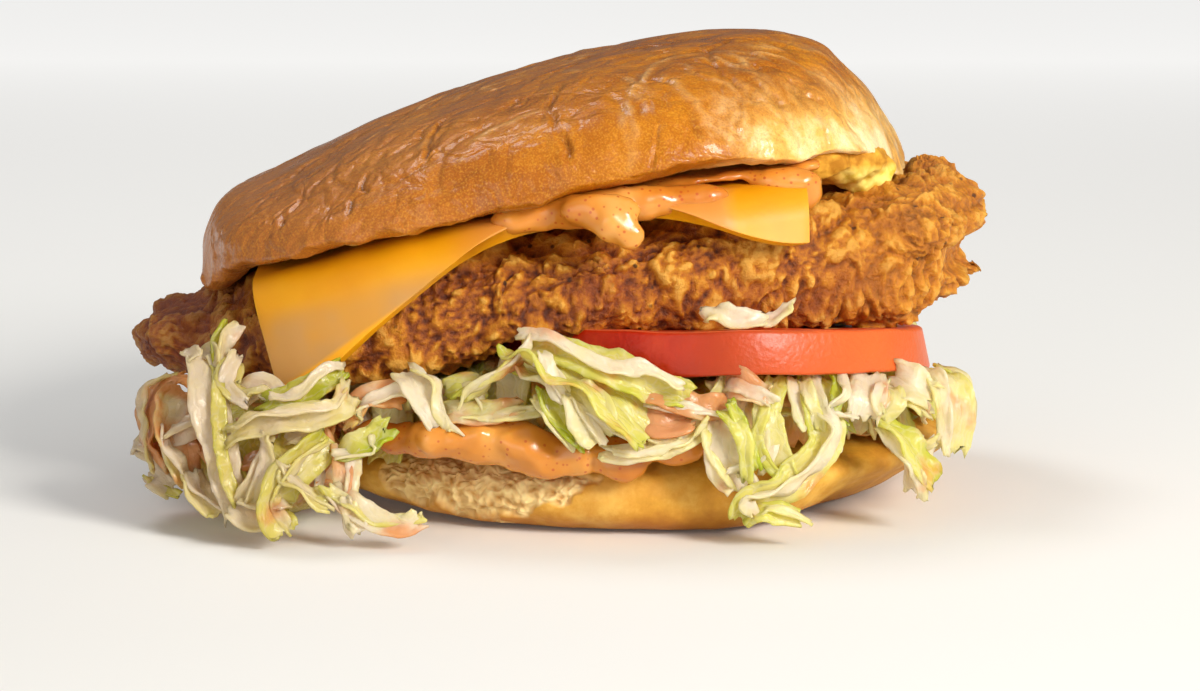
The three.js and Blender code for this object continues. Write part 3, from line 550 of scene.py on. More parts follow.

# %% [markdown]
# The skin is egg-glazed bread. It is golden brown, duller at the low left end, and pale at the lower right
# end, partly where it was torn from its neighbour and partly a painted highlight of the light from the right.
# It has darker blisters a few millimetres across and fine pores, painted shade in its creases and a painted
# highlight on its raised ridges. The glaze is a thin coat. Under the rim the skin ends, and pale crumb shows.


# %% The baked crust of the crown
def baked_skin():
    look = Finish("egg-glazed bread crust", IOR=1.45, Specular_IOR_Level=0.28)
    clouds, broad = look.noise(60.0, 6.0, 0.65), look.noise(26.0)
    gold = look.ramp(clouds, (0.3, "#8E4800"), (0.47, "#AA5E00"), (0.6, "#BC7000"), (0.72, "#CC8408"))
    cream = look.ramp(clouds, (0.35, "#CC8426"), (0.48, "#EAB45C"), (0.6, "#FCE2AC"))
    # the lower right end: pale crust where it was torn from its neighbour, and a painted highlight of the
    # light from the right
    pale_and_lit_right = look.ease(look.shifted(clouds, 0.03, look.axis("X")), 0.036, 0.049)
    below = look.ease(look.shifted(broad, -0.02, look.axis("Z")), 0.061, 0.052)
    to_left = look.ease(look.axis("X"), 0.01, -0.05, 0.75)
    colour = look.mix(to_left, gold, "#B46C2E")
    colour = look.mix(look.times(pale_and_lit_right, below), colour, cream)
    colour = look.mix(look.spread(broad, 0.5, 0.72, 0.3), colour, "#9A5208")
    # painted highlight on the raised ridges, then painted shade in the creases and folds
    colour = look.mix(look.times(look.kept("ridge_highlight"), 0.55), colour, "#EFC27C")
    colour = look.mix(look.kept("crease_shade"), colour, "#6E360A")
    grain = look.noise(3200.0, 1.0)
    colour = look.mix(look.spread(grain, 0.5, 0.7, 0.3), colour, "#E4A638")
    colour = look.mix(look.spread(grain, 0.48, 0.32, 0.25), colour, "#7A3C08")
    colour = look.mix(look.kept("skin"), "#E8BE6A", colour)
    bends = look.noise(90.0, output="Color")
    bent_place = look.vectors("MULTIPLY_ADD", bends, (0.012, 0.012, 0.012), look.where)
    net = look.spread(look.scatter(120.0, bent_place, "DISTANCE_TO_EDGE"), 0.0, 0.11)
    swells = look.noise(150.0, 3.0, place=bent_place)
    pores = look.bump(look.noise(2400.0, 2.0, 0.6), 0.5, 0.00015)
    waves = look.bump(swells, 0.6, 0.0018, look.bump(net, 0.35, 0.0005, pores))
    look.set(Base_Color=colour, Roughness=look.spread(clouds, 0.35, 0.65, 0.5, 0.24), Normal=waves)
    look.set(Coat_Weight=0.25, Coat_Roughness=0.12, Coat_Normal=look.bump(swells, 0.7, 0.002))
    look.soft(0.1, (0.004, 0.002, 0.001), 0.5)
    return look.material


finish_piece(crown, baked_skin(), "bun", "crown")

# %% [markdown]
# Under the arch at the right the crown's soft inside shows: a lump of crumb set back from the rim, painted
# darker gold as a painted shade under the arch, and a torn tab that hangs down on the fillet, painted bright
# yellow as painted light where it catches the light. Both are spheres stretched to size, joined, remeshed
# and roughened.

# %% The crumb under the arch
lumps = [
    ball((30, -26, 54.8), (9, 5, 3.2)),
    ball((38, -21, 54.2), (7, 5, 3.6)),
    ball((41.5, -19.5, 51.6), (4.2, 2.4, 2.6)),
    ball((44.2, -18.5, 52.6), (2.4, 2.2, 3.2)),
    ball((33, -12, 55.5), (13, 12, 4.0)),
]
choose(*lumps)
bpy.ops.object.join()
arch_crumb = lumps[0]
arch_crumb.name = "crown_crumb"
apply_modifier(arch_crumb, "REMESH", mode="VOXEL", voxel_size=0.55 * MM)
arch_places, _ = points_of(arch_crumb)
push(arch_crumb, 0.7 * rough(arch_places, 3, 91) + 0.4 * rough(arch_places, 1.3, 92))
# the hanging tab is marked for painted light; the rest of the crumb gets painted shade
store(arch_crumb, "lit_tab", smooth_step(54.2, 52.6, arch_places[:, 2]) * smooth_step(36, 39, arch_places[:, 0]))
shade_smooth(arch_crumb)


def crumb_finish():
    look = Finish("soft bread crumb", Roughness=0.8, IOR=1.4)
    clouds = look.noise(500.0, 5.0)
    # darker gold is the painted shade under the arch, bright yellow the painted light on the tab
    gold = look.ramp(clouds, (0.35, "#B07414"), (0.6, "#DDA434"))
    lit_yellow = look.ramp(clouds, (0.35, "#DDB82C"), (0.6, "#F8E27A"))
    look.set(Base_Color=look.mix(look.kept("lit_tab"), gold, lit_yellow), Normal=look.bump(clouds, 0.6, 0.0006))
    return look.material


finish_piece(arch_crumb, crumb_finish(), "bun")

# %% [markdown]
# ## The heel
# The heel is the flat bottom of the bun: matt, pale gold, browner where it lay on the baking tray, and torn
# open at the front left, where the white crumb shows as ragged bubbles, their hollows painted darker as a
# painted shade.

# %% The heel's body
TORN = Vector((-23, -47, 9))
TORN_HALF = (22, 15, 8.5)
HEEL_HALF = (56.5, 50.0)
heel = soft_copy("heel", "bun_heel", 2.3, 7, 1)


def front_of_heel(places, normals):
    return (places[:, 1] < -20) & (normals[:, 1] < -0.25)


def torn_part(places, normals):
    near_tear = (np.abs(places[:, 0] - TORN.x) < 24) & (places[:, 2] > 1) & (places[:, 2] < 17)
    return near_tear & (places[:, 1] < -25) & (normals[:, 1] < -0.2)


heel_places, _ = points_of(heel)
heel_middle = np.array(HEEL_BOX_MIDDLE)
spread = (heel_places[:, :2] - heel_middle) / np.array(HEEL_HALF)
out = np.linalg.norm(spread, axis=1) + 1e-6
# the right side tapers and lifts towards the floor
to_right = smooth_step(0.2, 0.85, spread[:, 0] / out) * smooth_step(0.75, 0.1, spread[:, 1] / out)
under = smooth_step(12.5, 1.5, heel_places[:, 2])
heel_places[:, :2] -= (0.15 * to_right * under**1.7)[:, None] * (heel_places[:, :2] - heel_middle)
heel_places[:, 2] += 1.9 * to_right * under * smooth_step(0.72, 0.97, out)
set_points(heel, heel_places)
refine(heel, front_of_heel, 2, 3)
refine(heel, torn_part, 1, 1)
heel_places, _ = points_of(heel)
torn_gap = np.linalg.norm((heel_places - np.array(TORN)) / np.array(TORN_HALF), axis=1)
torn_gap = torn_gap + 0.3 * rough(heel_places, 4, 8) + 0.12 * rough(heel_places, 1.5, 9)
torn = 1 - smooth_step(0.85, 1.0, torn_gap)
ragged = bend(heel_places, 2.5, 1.2, (81, 82, 83))
holes_near, _ = cells(ragged, 1.7, 3)
bubbles = 0.6 * (holes_near - 0.5) + 0.4 * rough(ragged, 1.1, 84) + 0.9 * rough(heel_places, 4, 85)
bubbles += 0.3 * rough(ragged, 0.6, 86) + 0.6 * np.abs(rough(ragged, 2.2, 87))
above_tray = smooth_step(0.15, 1.6, heel_places[:, 2])
skin_relief = 0.8 * rough(heel_places, 11, 6) + 0.3 * rough(heel_places, 4.2, 7)
push(heel, above_tray * (skin_relief * (1 - torn) + torn * (bubbles - 0.7)))
store(heel, "torn", torn)
# the hollows of the bubbles, to be painted darker as a painted shade
store(heel, "pit_shade", np.clip(torn * (1.1 - 1.4 * holes_near), 0, 1))


# %% The baked crust of the heel
def heel_skin():
    look = Finish("soft bread crust", Roughness=0.62, IOR=1.45)
    clouds = look.noise(85.0, 6.0, 0.65)
    pale = look.ramp(clouds, (0.32, "#B07416"), (0.5, "#D2982E"), (0.68, "#EABC58"))
    toasted = look.mix(look.spread(look.noise(45.0, 3.0), 0.52, 0.68, 0.45), pale, "#A8661C")
    low = look.ease(look.shifted(clouds, 0.006, look.axis("Z")), 0.0085, 0.0035, 0.8)
    browned = look.mix(low, toasted, "#A8641A")
    # painted shade in the crumb's hollows
    crumb = look.mix(look.kept("pit_shade"), "#F6DA98", "#C08C40")
    grain = look.noise(800.0, 5.0)
    look.set(Base_Color=look.mix(look.kept("torn"), browned, crumb), Normal=look.bump(grain, 0.5, 0.0003))
    look.soft(0.15, (0.004, 0.002, 0.001), 0.6)
    return look.material


finish_piece(heel, heel_skin(), "bun", "heel")

# %% [markdown]
# ## The fried fillet
# The crust of fried chicken is batter that blistered into knobs and flakes: large folds a centimetre
# across, knobs of three or four millimetres on them, and crumbs of a millimetre. Rounded cells give the
# knobs, and noise bends them. The relief is also kept as an attribute, which the material paints dark in
# the hollows, a painted shade, and gold on the tips.

# %% The fillet's body
fillet = soft_copy("fillet", "fried_fillet", 2.5, 4, 1)


def seen_crust(places, normals):
    """The faces round the side, and those that stick out beyond the crown."""
    side = np.abs(normals[:, 2]) < 0.75
    beyond = (places[:, 0] > 38) | (places[:, 0] < -58)
    return side | beyond


refine(fillet, seen_crust, 2, 2)
fillet_places, _ = points_of(fillet)
bent = bend(fillet_places, 6, 2.5, (11, 12, 13))
bent += bend(fillet_places, 2, 0.8, (51, 52, 53)) - fillet_places
ridges = 1 - np.abs(rough(bent, 11, 14)) * 3


def knobs(size, seed):
    """Rounded lumps about size mm across, 0 in the creases between them and 1 on top."""
    near, next_near = cells(bent, size, seed)
    return smooth_step(0, 0.5, next_near - near) * (1 - 0.5 * near)


lip = smooth_step(40, 33, fillet_places[:, 2]) * smooth_step(-16, -2, fillet_places[:, 0])
lip *= smooth_step(-16, -28, fillet_places[:, 1])
large, middle, small = knobs(8.5, 15), knobs(4.0, 16), knobs(1.9, 17)
patchy = 0.6 + 0.8 * smooth_step(-0.3, 0.4, rough(fillet_places, 14, 18))
grit = rough(fillet_places, 0.8, 19)
plain_end = 1 - 0.45 * smooth_step(-44, -58, fillet_places[:, 0])
fillet_relief = 1.5 * (large - 0.6) + patchy * plain_end * (0.95 * (middle - 0.5) + 0.6 * (small - 0.5))
fillet_relief += 1.7 * rough(fillet_places, 17, 54) + 0.6 * ridges + 0.26 * grit
push(fillet, fillet_relief - 0.2)
fillet_places, _ = points_of(fillet)
# the notch in the right end, its round top, the hump of the left end and the lip over the tomato
notch = np.exp(-(((fillet_places[:, 2] - 38.7) / 3.1) ** 4)) * smooth_step(52, 59, fillet_places[:, 0])
fillet_places[:, 0] -= 3.0 * notch
round_top = smooth_step(47, 51, fillet_places[:, 2]) * smooth_step(50, 58, fillet_places[:, 0])
fillet_places[:, 0] -= 2.6 * round_top
left_hump = np.exp(-((fillet_places[:, 0] + 56) ** 2 + (fillet_places[:, 1] + 18) ** 2) / 9**2)
fillet_places[:, 2] += 2.2 * left_hump * smooth_step(27, 33, fillet_places[:, 2])
fillet_places[:, 2] -= lip * (2.6 + 1.5 * bell(fillet_places[:, 0], -8, 9))
set_points(fillet, fillet_places)
# the relief, which the material turns into painted shade in the hollows and gold on the tips
store(fillet, "relief", np.clip(0.1 + 0.35 * large + 0.35 * middle + 0.25 * small + 0.25 * grit, 0, 1))


# %% The fried crust
def fried_crust():
    look = Finish("deep-fried batter", Roughness=0.5, IOR=1.47)
    crumbs = look.noise(620.0, 5.0, 0.72)
    # painted shade in the hollows and gold on the tips, with real unevenness from the fine noise
    hollow_shade, brown, gold = (0.4, "#521E02"), (0.56, "#864006"), (0.72, "#B0640A")
    uneven = look.shifted(crumbs, 0.75, look.kept("relief"))
    colour = look.ramp(uneven, hollow_shade, brown, gold, (0.88, "#CC8416"), (1.0, "#E0A440"))
    # painted shade: the left end, away from the light, is darker
    colour = look.mix(look.ease(look.axis("X"), -0.038, -0.06, 0.6), colour, "#6A2A08")
    colour = look.mix(look.spread(look.noise(75.0, 3.0), 0.5, 0.75, 0.5), colour, "#8E3A08")
    # painted light: the right end, where the light from the right falls, is lighter
    colour = look.mix(look.ease(look.axis("X"), 0.03, 0.055, 0.3), colour, "#DC9020")
    pepper = look.spread(look.scatter(330.0), 0.16, 0.1, 0.85)
    some = look.spread(look.noise(160.0), 0.5, 0.56)
    colour = look.mix(look.times(pepper, some), colour, "#3A1A0A")
    look.set(Base_Color=colour, Normal=look.bump(crumbs, 1.0, 0.0009))
    look.soft(0.08, (0.003, 0.0015, 0.0006), 0.5)
    return look.material


finish_piece(fillet, fried_crust(), "crust", "fillet")

# %% [markdown]
# ## The cheese
# A processed cheese slice is an even, bendy sheet with crisp edges. A grid is laid on the fillet: flat at
# the back, bent over the front shoulder, and hanging from there. How far each line hangs is one smooth
# rule. Solidify and a small bevel make it a slice.

# %% The cheese slice
CHEESE_THICK, CHEESE_GAP = 2.3, 1.45
CHEESE_STEEPEST = 1.31
CHEESE_LEFT, CHEESE_RIGHT, CHEESE_BACK, CHEESE_BEND = -52.8, 31.0, 36.0, 6.0
FOLD_X = [-54, -48, -42, -36, -30, -24, -18, -12, -6, 0, 6, 12, 18, 24, 30, 36]
FOLD_Y = [-30.3, -33.4, -35.7, -37.5, -38.9, -40.0, -41.0, -41.6]
FOLD_Y += [-41.8, -41.6, -41.2, -40.4, -39.3, -37.7, -35.6, -33.3]
FOLD_Z = [33.5, 35.3, 37.2, 39.3, 41.0, 42.4, 43.5, 44.4, 45.2, 46.0, 46.7, 47.4, 48.1, 48.7, 49.2, 49.7]


def step(low, high, value):
    return float(smooth_step(low, high, np.array(value)))


def fillet_top(x, y):
    across = (y - 1) / 46
    droop = 4.5 * (1 - step(-72, -50, x))
    droop += 3.4 * math.exp(-((x + 53) ** 2 + (y + 33) ** 2) / 18**2)
    return 47.9 + 0.122 * x - 0.00105 * x * x - 2.2 * across**2 - droop


def hang_at(x):
    """How far the slice hangs below its bend at each x."""
    left_flap = 20.5 * (1 - smooth_step(-60, -2, x)) + 1.3 * bell(x, -27, 12)
    return 1 + left_flap + 10.5 * smooth_step(0, 31, x)


def cheese_point(u, v):
    flat_part = 0.35
    x = CHEESE_LEFT + (CHEESE_RIGHT - CHEESE_LEFT) * u
    fold = float(np.interp(x, FOLD_X, FOLD_Y))
    lift = CHEESE_GAP + CHEESE_THICK / 2
    if v <= flat_part:
        y = CHEESE_BACK + (fold - CHEESE_BACK) * v / flat_part
        return Vector((x, y, fillet_top(x, y) + lift))
    run = float(hang_at(np.array(x))) * (v - flat_part) / (1 - flat_part)
    angle = min(CHEESE_STEEPEST, run / CHEESE_BEND)
    below = max(0.0, run - CHEESE_STEEPEST * CHEESE_BEND)
    drop = CHEESE_BEND * (1 - math.cos(angle)) + below * math.sin(CHEESE_STEEPEST)
    inwards = 0.3 * drop * (1 - step(-53, -15, x))
    ripple = 0.35 * math.sin(0.16 * x + 1) * step(0, 8, below)
    return Vector(
        (
            x + inwards,
            fold - CHEESE_BEND * math.sin(angle) - below * math.cos(CHEESE_STEEPEST) + ripple,
            float(np.interp(x, FOLD_X, FOLD_Z)) + lift - drop,
        )
    )


def grid_piece(name, across, along, place):
    """A grid whose points are put by place(u, v), u and v from 0 to 1."""
    bpy.ops.object.select_all(action="DESELECT")
    bpy.ops.mesh.primitive_grid_add(x_subdivisions=across, y_subdivisions=along, size=2)
    obj = bpy.context.object
    obj.name = name
    for vertex in obj.data.vertices:
        u, v = (vertex.co.x + 1) / 2, (vertex.co.y + 1) / 2
        vertex.co = at(*place(u, v))
    obj.data.update()
    return obj


cheese = grid_piece("cheese_slice", 64, 70, lambda u, v: cheese_point(1 - u, v))
apply_modifier(cheese, "SOLIDIFY", thickness=CHEESE_THICK * MM, offset=0)
apply_modifier(cheese, "BEVEL", width=0.8 * MM, segments=4, limit_method="ANGLE")
shade_smooth(cheese)

cheese_places, cheese_normals = points_of(cheese)
cheese_x = cheese_places[:, 0]
fold_z = np.interp(cheese_x, FOLD_X, FOLD_Z) + CHEESE_GAP + CHEESE_THICK / 2
hang = hang_at(cheese_x)
level = np.interp(hang, [0, 7.9, 40], [0, 6.0, 37.0])
# the band by the cut edge below, painted bright as painted light, where the sauce coats it, and the hanging
# left flap, with painted shade and a painted milky sheen, are kept for the material
painted_lit_edge = smooth_step(1.7, 0.9, cheese_places[:, 2] - (fold_z - level)) * smooth_step(5, 9, hang)
painted_lit_edge *= cheese_places[:, 1] < -30
store(cheese, "edge", np.clip(painted_lit_edge, 0, 1))
outwards_and_up = cheese_normals[:, 2] - cheese_normals[:, 1]
coated = smooth_step(-24, -14, cheese_x)
coated = coated * smooth_step(20.5, 18.6, cheese_x + 0.8 * rough(cheese_places, 3, 61))
coated = coated * (smooth_step(-38, -41, cheese_places[:, 1]) * smooth_step(0.3, 0.7, outwards_and_up))
store(cheese, "coated", coated)
push(cheese, 0.35 * coated * (1 + 0.6 * rough(cheese_places, 4, 62)))
left_flap_shade_and_sheen = smooth_step(3, 8, fold_z - cheese_places[:, 2]) * smooth_step(-14, -24, cheese_x)
store(cheese, "sheen", left_flap_shade_and_sheen)


# %% The cheese's finish
def cheese_skin():
    look = Finish("processed cheese", Roughness=0.5, IOR=1.4, Coat_Weight=0.08, Coat_Roughness=0.3)
    clouds, sheen = look.noise(55.0, 3.0), look.kept("sheen")
    painted_sheen_patches = look.times(look.ease(clouds, 0.42, 0.58, 1.0, 0.45), sheen)
    colour = look.ramp(clouds, (0.35, "#DA9000"), (0.6, "#E29C00"))
    # the hanging left flap: painted shade, then pale patches of painted sheen on it
    colour = look.mix(sheen, colour, "#D8920C")
    colour = look.mix(painted_sheen_patches, colour, "#C8924C")
    # painted light: a bright band along the lit cut edge
    colour = look.mix(look.kept("edge"), colour, "#F4A800")
    colour = look.mix(look.kept("coated"), colour, "#D98C3A")
    look.set(Base_Color=colour, Normal=look.bump(look.noise(260.0, 4.0), 0.2, 0.0004))
    look.soft(0.2, (0.005, 0.003, 0.0006), 0.5)
    return look.material


finish_piece(cheese, cheese_skin(), "cheese", "cheese")

# %% [markdown]
# ## The tomato slice
# One thick slice: a red, tight, glossy skin round its side, with softly rounded corners, and paler wet
# flesh on its two faces, with redder pulp and seeds inside the wall. A cylinder is inset for the faces,
# bevelled for the skin, given the fruit's faint lobes, and tipped.

# %% The tomato's body
TOMATO_X, TOMATO_Y, TOMATO_Z = 17.7, -17, 24.4
TOMATO_RADIUS, TOMATO_THICK, TOMATO_DIP = 34.3, 7.0, 0.125
bpy.ops.object.select_all(action="DESELECT")
bpy.ops.mesh.primitive_cylinder_add(vertices=128, radius=1, depth=2)
tomato = bpy.context.object
tomato.name = "tomato_slice"
bpy.ops.object.mode_set(mode="EDIT")
bpy.ops.mesh.select_all(action="DESELECT")
bpy.ops.mesh.select_mode(type="FACE")
bpy.ops.object.mode_set(mode="OBJECT")
for face in tomato.data.polygons:
    face.select = abs(face.normal.z) > 0.9
bpy.ops.object.mode_set(mode="EDIT")
for _ in range(5):
    bpy.ops.mesh.inset(thickness=0.16, use_individual=False)
bpy.ops.object.mode_set(mode="OBJECT")
for vertex in tomato.data.vertices:
    x, y, z = vertex.co
    angle = math.atan2(y, x)
    lobed = 1 + 0.012 * math.cos(5 * angle + 1)
    wider = 0.985 - 0.02 * z
    vertex.co = at(
        TOMATO_X + TOMATO_RADIUS * lobed * wider * x,
        TOMATO_Y + TOMATO_RADIUS * lobed * wider * y,
        TOMATO_Z + TOMATO_THICK / 2 * z - TOMATO_DIP * TOMATO_RADIUS * lobed * wider * y,
    )
tomato.data.update()
apply_modifier(tomato, "BEVEL", width=0.7 * MM, segments=4, limit_method="ANGLE", angle_limit=1.0)
shade_smooth(tomato)
tomato_places, tomato_normals = points_of(tomato)
round_side = 1 - np.abs(tomato_normals[:, 2])
push(tomato, 0.5 * rough(tomato_places, 13, 21) * round_side + 0.2 * rough(tomato_places, 5, 22) - 0.2)
tomato_places, _ = points_of(tomato)
tomato_places[:, 2] += 0.5 * rough(tomato_places * np.array([1, 1, 0]), 16, 23)
set_points(tomato, tomato_places)


# %% The tomato's finish
def tomato_skin():
    look = Finish("ripe tomato", Roughness=0.36, IOR=1.4, Specular_IOR_Level=0.35)
    clouds = look.noise(60.0, 4.0)
    red = look.ramp(clouds, (0.35, "#8E1000"), (0.55, "#AC2002"), (0.72, "#C43C10"))
    # painted light: the skin is lighter towards the right, where the light from the right falls
    red = look.mix(look.ease(look.axis("X"), 0.008, 0.05, 0.6), red, "#F07A3A")
    middle = at(TOMATO_X, TOMATO_Y, 0)
    level_place = look.vectors("MULTIPLY", look.where, (1.0, 1.0, 0.0))
    reach = look.vectors("DISTANCE", level_place, (middle.x, middle.y, 0.0), output="Value")
    pulp = look.ease(look.shifted(clouds, 0.008, reach), 0.034, 0.032)
    seeds = look.times(look.spread(look.scatter(240.0), 0.3, 0.24), pulp)
    flesh = look.mix(seeds, look.mix(pulp, "#E0623C", "#C83A14"), "#EEC478")
    facing = look.add("ShaderNodeNewGeometry", "Normal")
    level = look.add("ShaderNodeMath", 0, {0: look.axis("Z", facing)}, operation="ABSOLUTE")
    colour = look.mix(look.spread(level, 0.9, 0.985), red, flesh)
    look.set(Base_Color=colour, Normal=look.bump(look.noise(1100.0, 3.0), 0.5, 0.0003))
    look.set(Coat_Weight=0.06, Coat_Roughness=0.12)
    look.soft(0.12, (0.008, 0.002, 0.001), 0.6)
    return look.material


finish_piece(tomato, tomato_skin(), "tomato", "tomato")

# %% [markdown]
# ## The sauces
# The sauce is a thick orange-pink cream with chilli flakes. It bulges in soft rolls where the layers
# squeeze it out, so a finer remesh of the solids with a few rounds of smoothing is close, plus slow waves.


# %% The sauces
def sauce_finish():
    look = Finish("chilli mayonnaise", Roughness=0.27, IOR=1.47, Coat_Weight=0.25, Coat_Roughness=0.12)
    cream = look.ramp(look.noise(90.0, 4.0), (0.35, "#C47420"), (0.55, "#D4882E"), (0.7, "#E2A04C"))
    chilli = look.spread(look.scatter(800.0), 0.24, 0.12, 0.7)
    look.set(Base_Color=look.mix(chilli, cream, "#B5441C"))
    look.soft(0.2, (0.004, 0.002, 0.001), 0.5)
    return look.material


def on_fold(x, outwards, above):
    """A place over the line where the cheese folds down."""
    return x, float(np.interp(x, FOLD_X, FOLD_Y)) + outwards, float(np.interp(x, FOLD_X, FOLD_Z)) + above


sauce_material = sauce_finish()
# lumps of sauce beside each solid: place and half sizes in mm
DRIPS = {
    "upper_sauce": [
        ((0, -48.4, 49.6), (6, 2.2, 2.4)),
        ((2.4, -49.8, 47.6), (3.4, 1.9, 3.2)),
        ((4.2, -50.2, 46.2), (2.3, 1.6, 2.2)),
    ]
    + [
        (on_fold(x, -2.2, 3.9 - 0.05 * abs(x)), (4.6, 2.6 - 0.03 * abs(x), 2.9 - 0.05 * abs(x)))
        for x in range(-12, 17, 3)
    ]
    + [((28, -37, 52.8), (6, 2.4, 2.3)), ((31.3, -36.3, 51), (2.6, 2.1, 2.8))],
    "lower_sauce": [
        ((-20, -49.6, 15.6), (7, 2.0, 2.3)),
        ((-11, -50.6, 14.6), (6, 2.2, 3.0)),
        ((-4, -51.2, 13.2), (5, 2.2, 3.0)),
        ((3, -51.2, 12.6), (5, 2.0, 2.6)),
        ((11, -50.8, 13.8), (5, 1.8, 2.2)),
    ],
}
for node_name, piece_name in (("upper_sauce", "sauce_on_cheese"), ("lower_sauce", "sauce_on_heel")):
    sauce = soft_copy(node_name, piece_name, 0.8, 2, 0)
    drops = [ball(place, size) for place, size in DRIPS[node_name]]
    choose(sauce, *drops)
    bpy.ops.object.join()
    apply_modifier(sauce, "REMESH", mode="VOXEL", voxel_size=0.6 * MM)
    apply_modifier(sauce, "SMOOTH", factor=0.5, iterations=5)
    sauce_places, _ = points_of(sauce)
    swell = 0.6 if node_name == "upper_sauce" else 1.3
    push(sauce, swell * (rough(sauce_places, 5.5, 31) + 0.3 * rough(sauce_places, 2.2, 32)))
    shade_smooth(sauce)
    finish_piece(sauce, sauce_material, "sauce", node_name)

# %% [markdown]
# ## The lettuce
# Shredded iceberg: thin crisp strips, white at the rib and yellow green at the frilled edge. Under the
# strips lies a core, which fills the room between the heel and what presses on it. Rays cast up and down
# from the middle of that room find how high and low it goes.

# %% The core of the heap
def tree_of(node):
    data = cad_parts[node].data
    return BVHTree.FromPolygons([v.co for v in data.vertices], [p.vertices for p in data.polygons])


above_tree = [tree_of("tomato"), tree_of("fillet")]
heel_tree = tree_of("heel")
INSIDE, LOW_OUTSIDE, HIGH_OUTSIDE = 16.6, 11.0, 27.0


def room(x, y):
    """Lowest and highest level, in mm, of the lettuce at a place."""
    start = at(x, y, INSIDE)
    down = heel_tree.ray_cast(at(x, y, 40), Vector((0, 0, -1)))[0]
    low = down.z / MM + 0.8 if down else LOW_OUTSIDE
    highs = [tree.ray_cast(start, Vector((0, 0, 1)))[0] for tree in above_tree]
    high = min([h.z / MM for h in highs if h] + [HIGH_OUTSIDE]) - 0.7
    return low, max(high, low + 1.5)


HEAP_X, HEAP_Y, HEAP_WIDE, HEAP_DEEP = 3, -1.5, 48.5, 43.5
MOUND_X, MOUND_Y, MOUND_Z, MOUND_WIDE, MOUND_HIGH = -52, -31, 9, 14.5, 8.6
LOWEST_CORE, LOWEST_STRIP = 0.4, 0.35
LEAF_THICK = 0.42
bpy.ops.object.select_all(action="DESELECT")
bpy.ops.mesh.primitive_uv_sphere_add(segments=150, ring_count=48, radius=1)
core = bpy.context.object
core.name = "lettuce_core"
for vertex in core.data.vertices:
    x, y, z = vertex.co
    px, py = HEAP_X + HEAP_WIDE * x, HEAP_Y + HEAP_DEEP * y
    low, high = room(px, py)
    middle, half = (low + high) / 2, (high - low) / 2
    vertex.co = at(px, py, middle + half * math.copysign(abs(z) ** 0.45, z))
core.data.update()
bpy.ops.mesh.primitive_uv_sphere_add(segments=60, ring_count=40, radius=1)
mound = bpy.context.object
for vertex in mound.data.vertices:
    x, y, z = vertex.co
    higher_left = 3 * max(0, z) * max(0, -x)
    vertex.co = at(MOUND_X + MOUND_WIDE * x, MOUND_Y + MOUND_WIDE * y, MOUND_Z + MOUND_HIGH * z + higher_left)
mound.data.update()
choose(core, mound)
bpy.ops.object.join()
apply_modifier(core, "REMESH", mode="VOXEL", voxel_size=1.1 * MM)
apply_modifier(core, "SMOOTH", factor=0.5, iterations=3)
core_places, _ = points_of(core)
folds_near, _ = cells(core_places, 5.5, 41)
push(core, 0.9 * rough(core_places, 4, 42) + 1.2 * (0.5 - folds_near))
core_places, _ = points_of(core)
core_places[:, 2] = np.maximum(core_places[:, 2], LOWEST_CORE)
set_points(core, core_places)
shade_smooth(core)
store(core, "tint", 0.45 + 0.3 * rough(core_places, 9, 43))
store(core, "sauce", np.clip(1.6 * rough(core_places, 8, 44) + 0.1, 0, 1))
store(core, "leaf", core_places[:, [0, 2, 1]] * 1.3)
print("core has", len(core.data.polygons), "faces")


# %% [markdown]
# Each strip is a grid laid along a line of points. Across the strip it curls, its edges ruffle more than
# its middle, and its ends are ragged. Two numbers go with it for the material: how green it is, and how
# much sauce it took.


# %% Laying one strip
def line_point(points, t):
    """A smooth line through points (Catmull-Rom), t from 0 to 1."""
    spans = len(points) - 1
    s = min(t * spans, spans - 1e-6)
    i = int(s)
    f = s - i
    p = [points[min(max(k, 0), spans)] for k in (i - 1, i, i + 1, i + 2)]
    return 0.5 * (
        2 * p[1]
        + (p[2] - p[0]) * f
        + (2 * p[0] - 5 * p[1] + 4 * p[2] - p[3]) * f * f
        + (3 * p[1] - p[0] - 3 * p[2] + p[3]) * f**3
    )


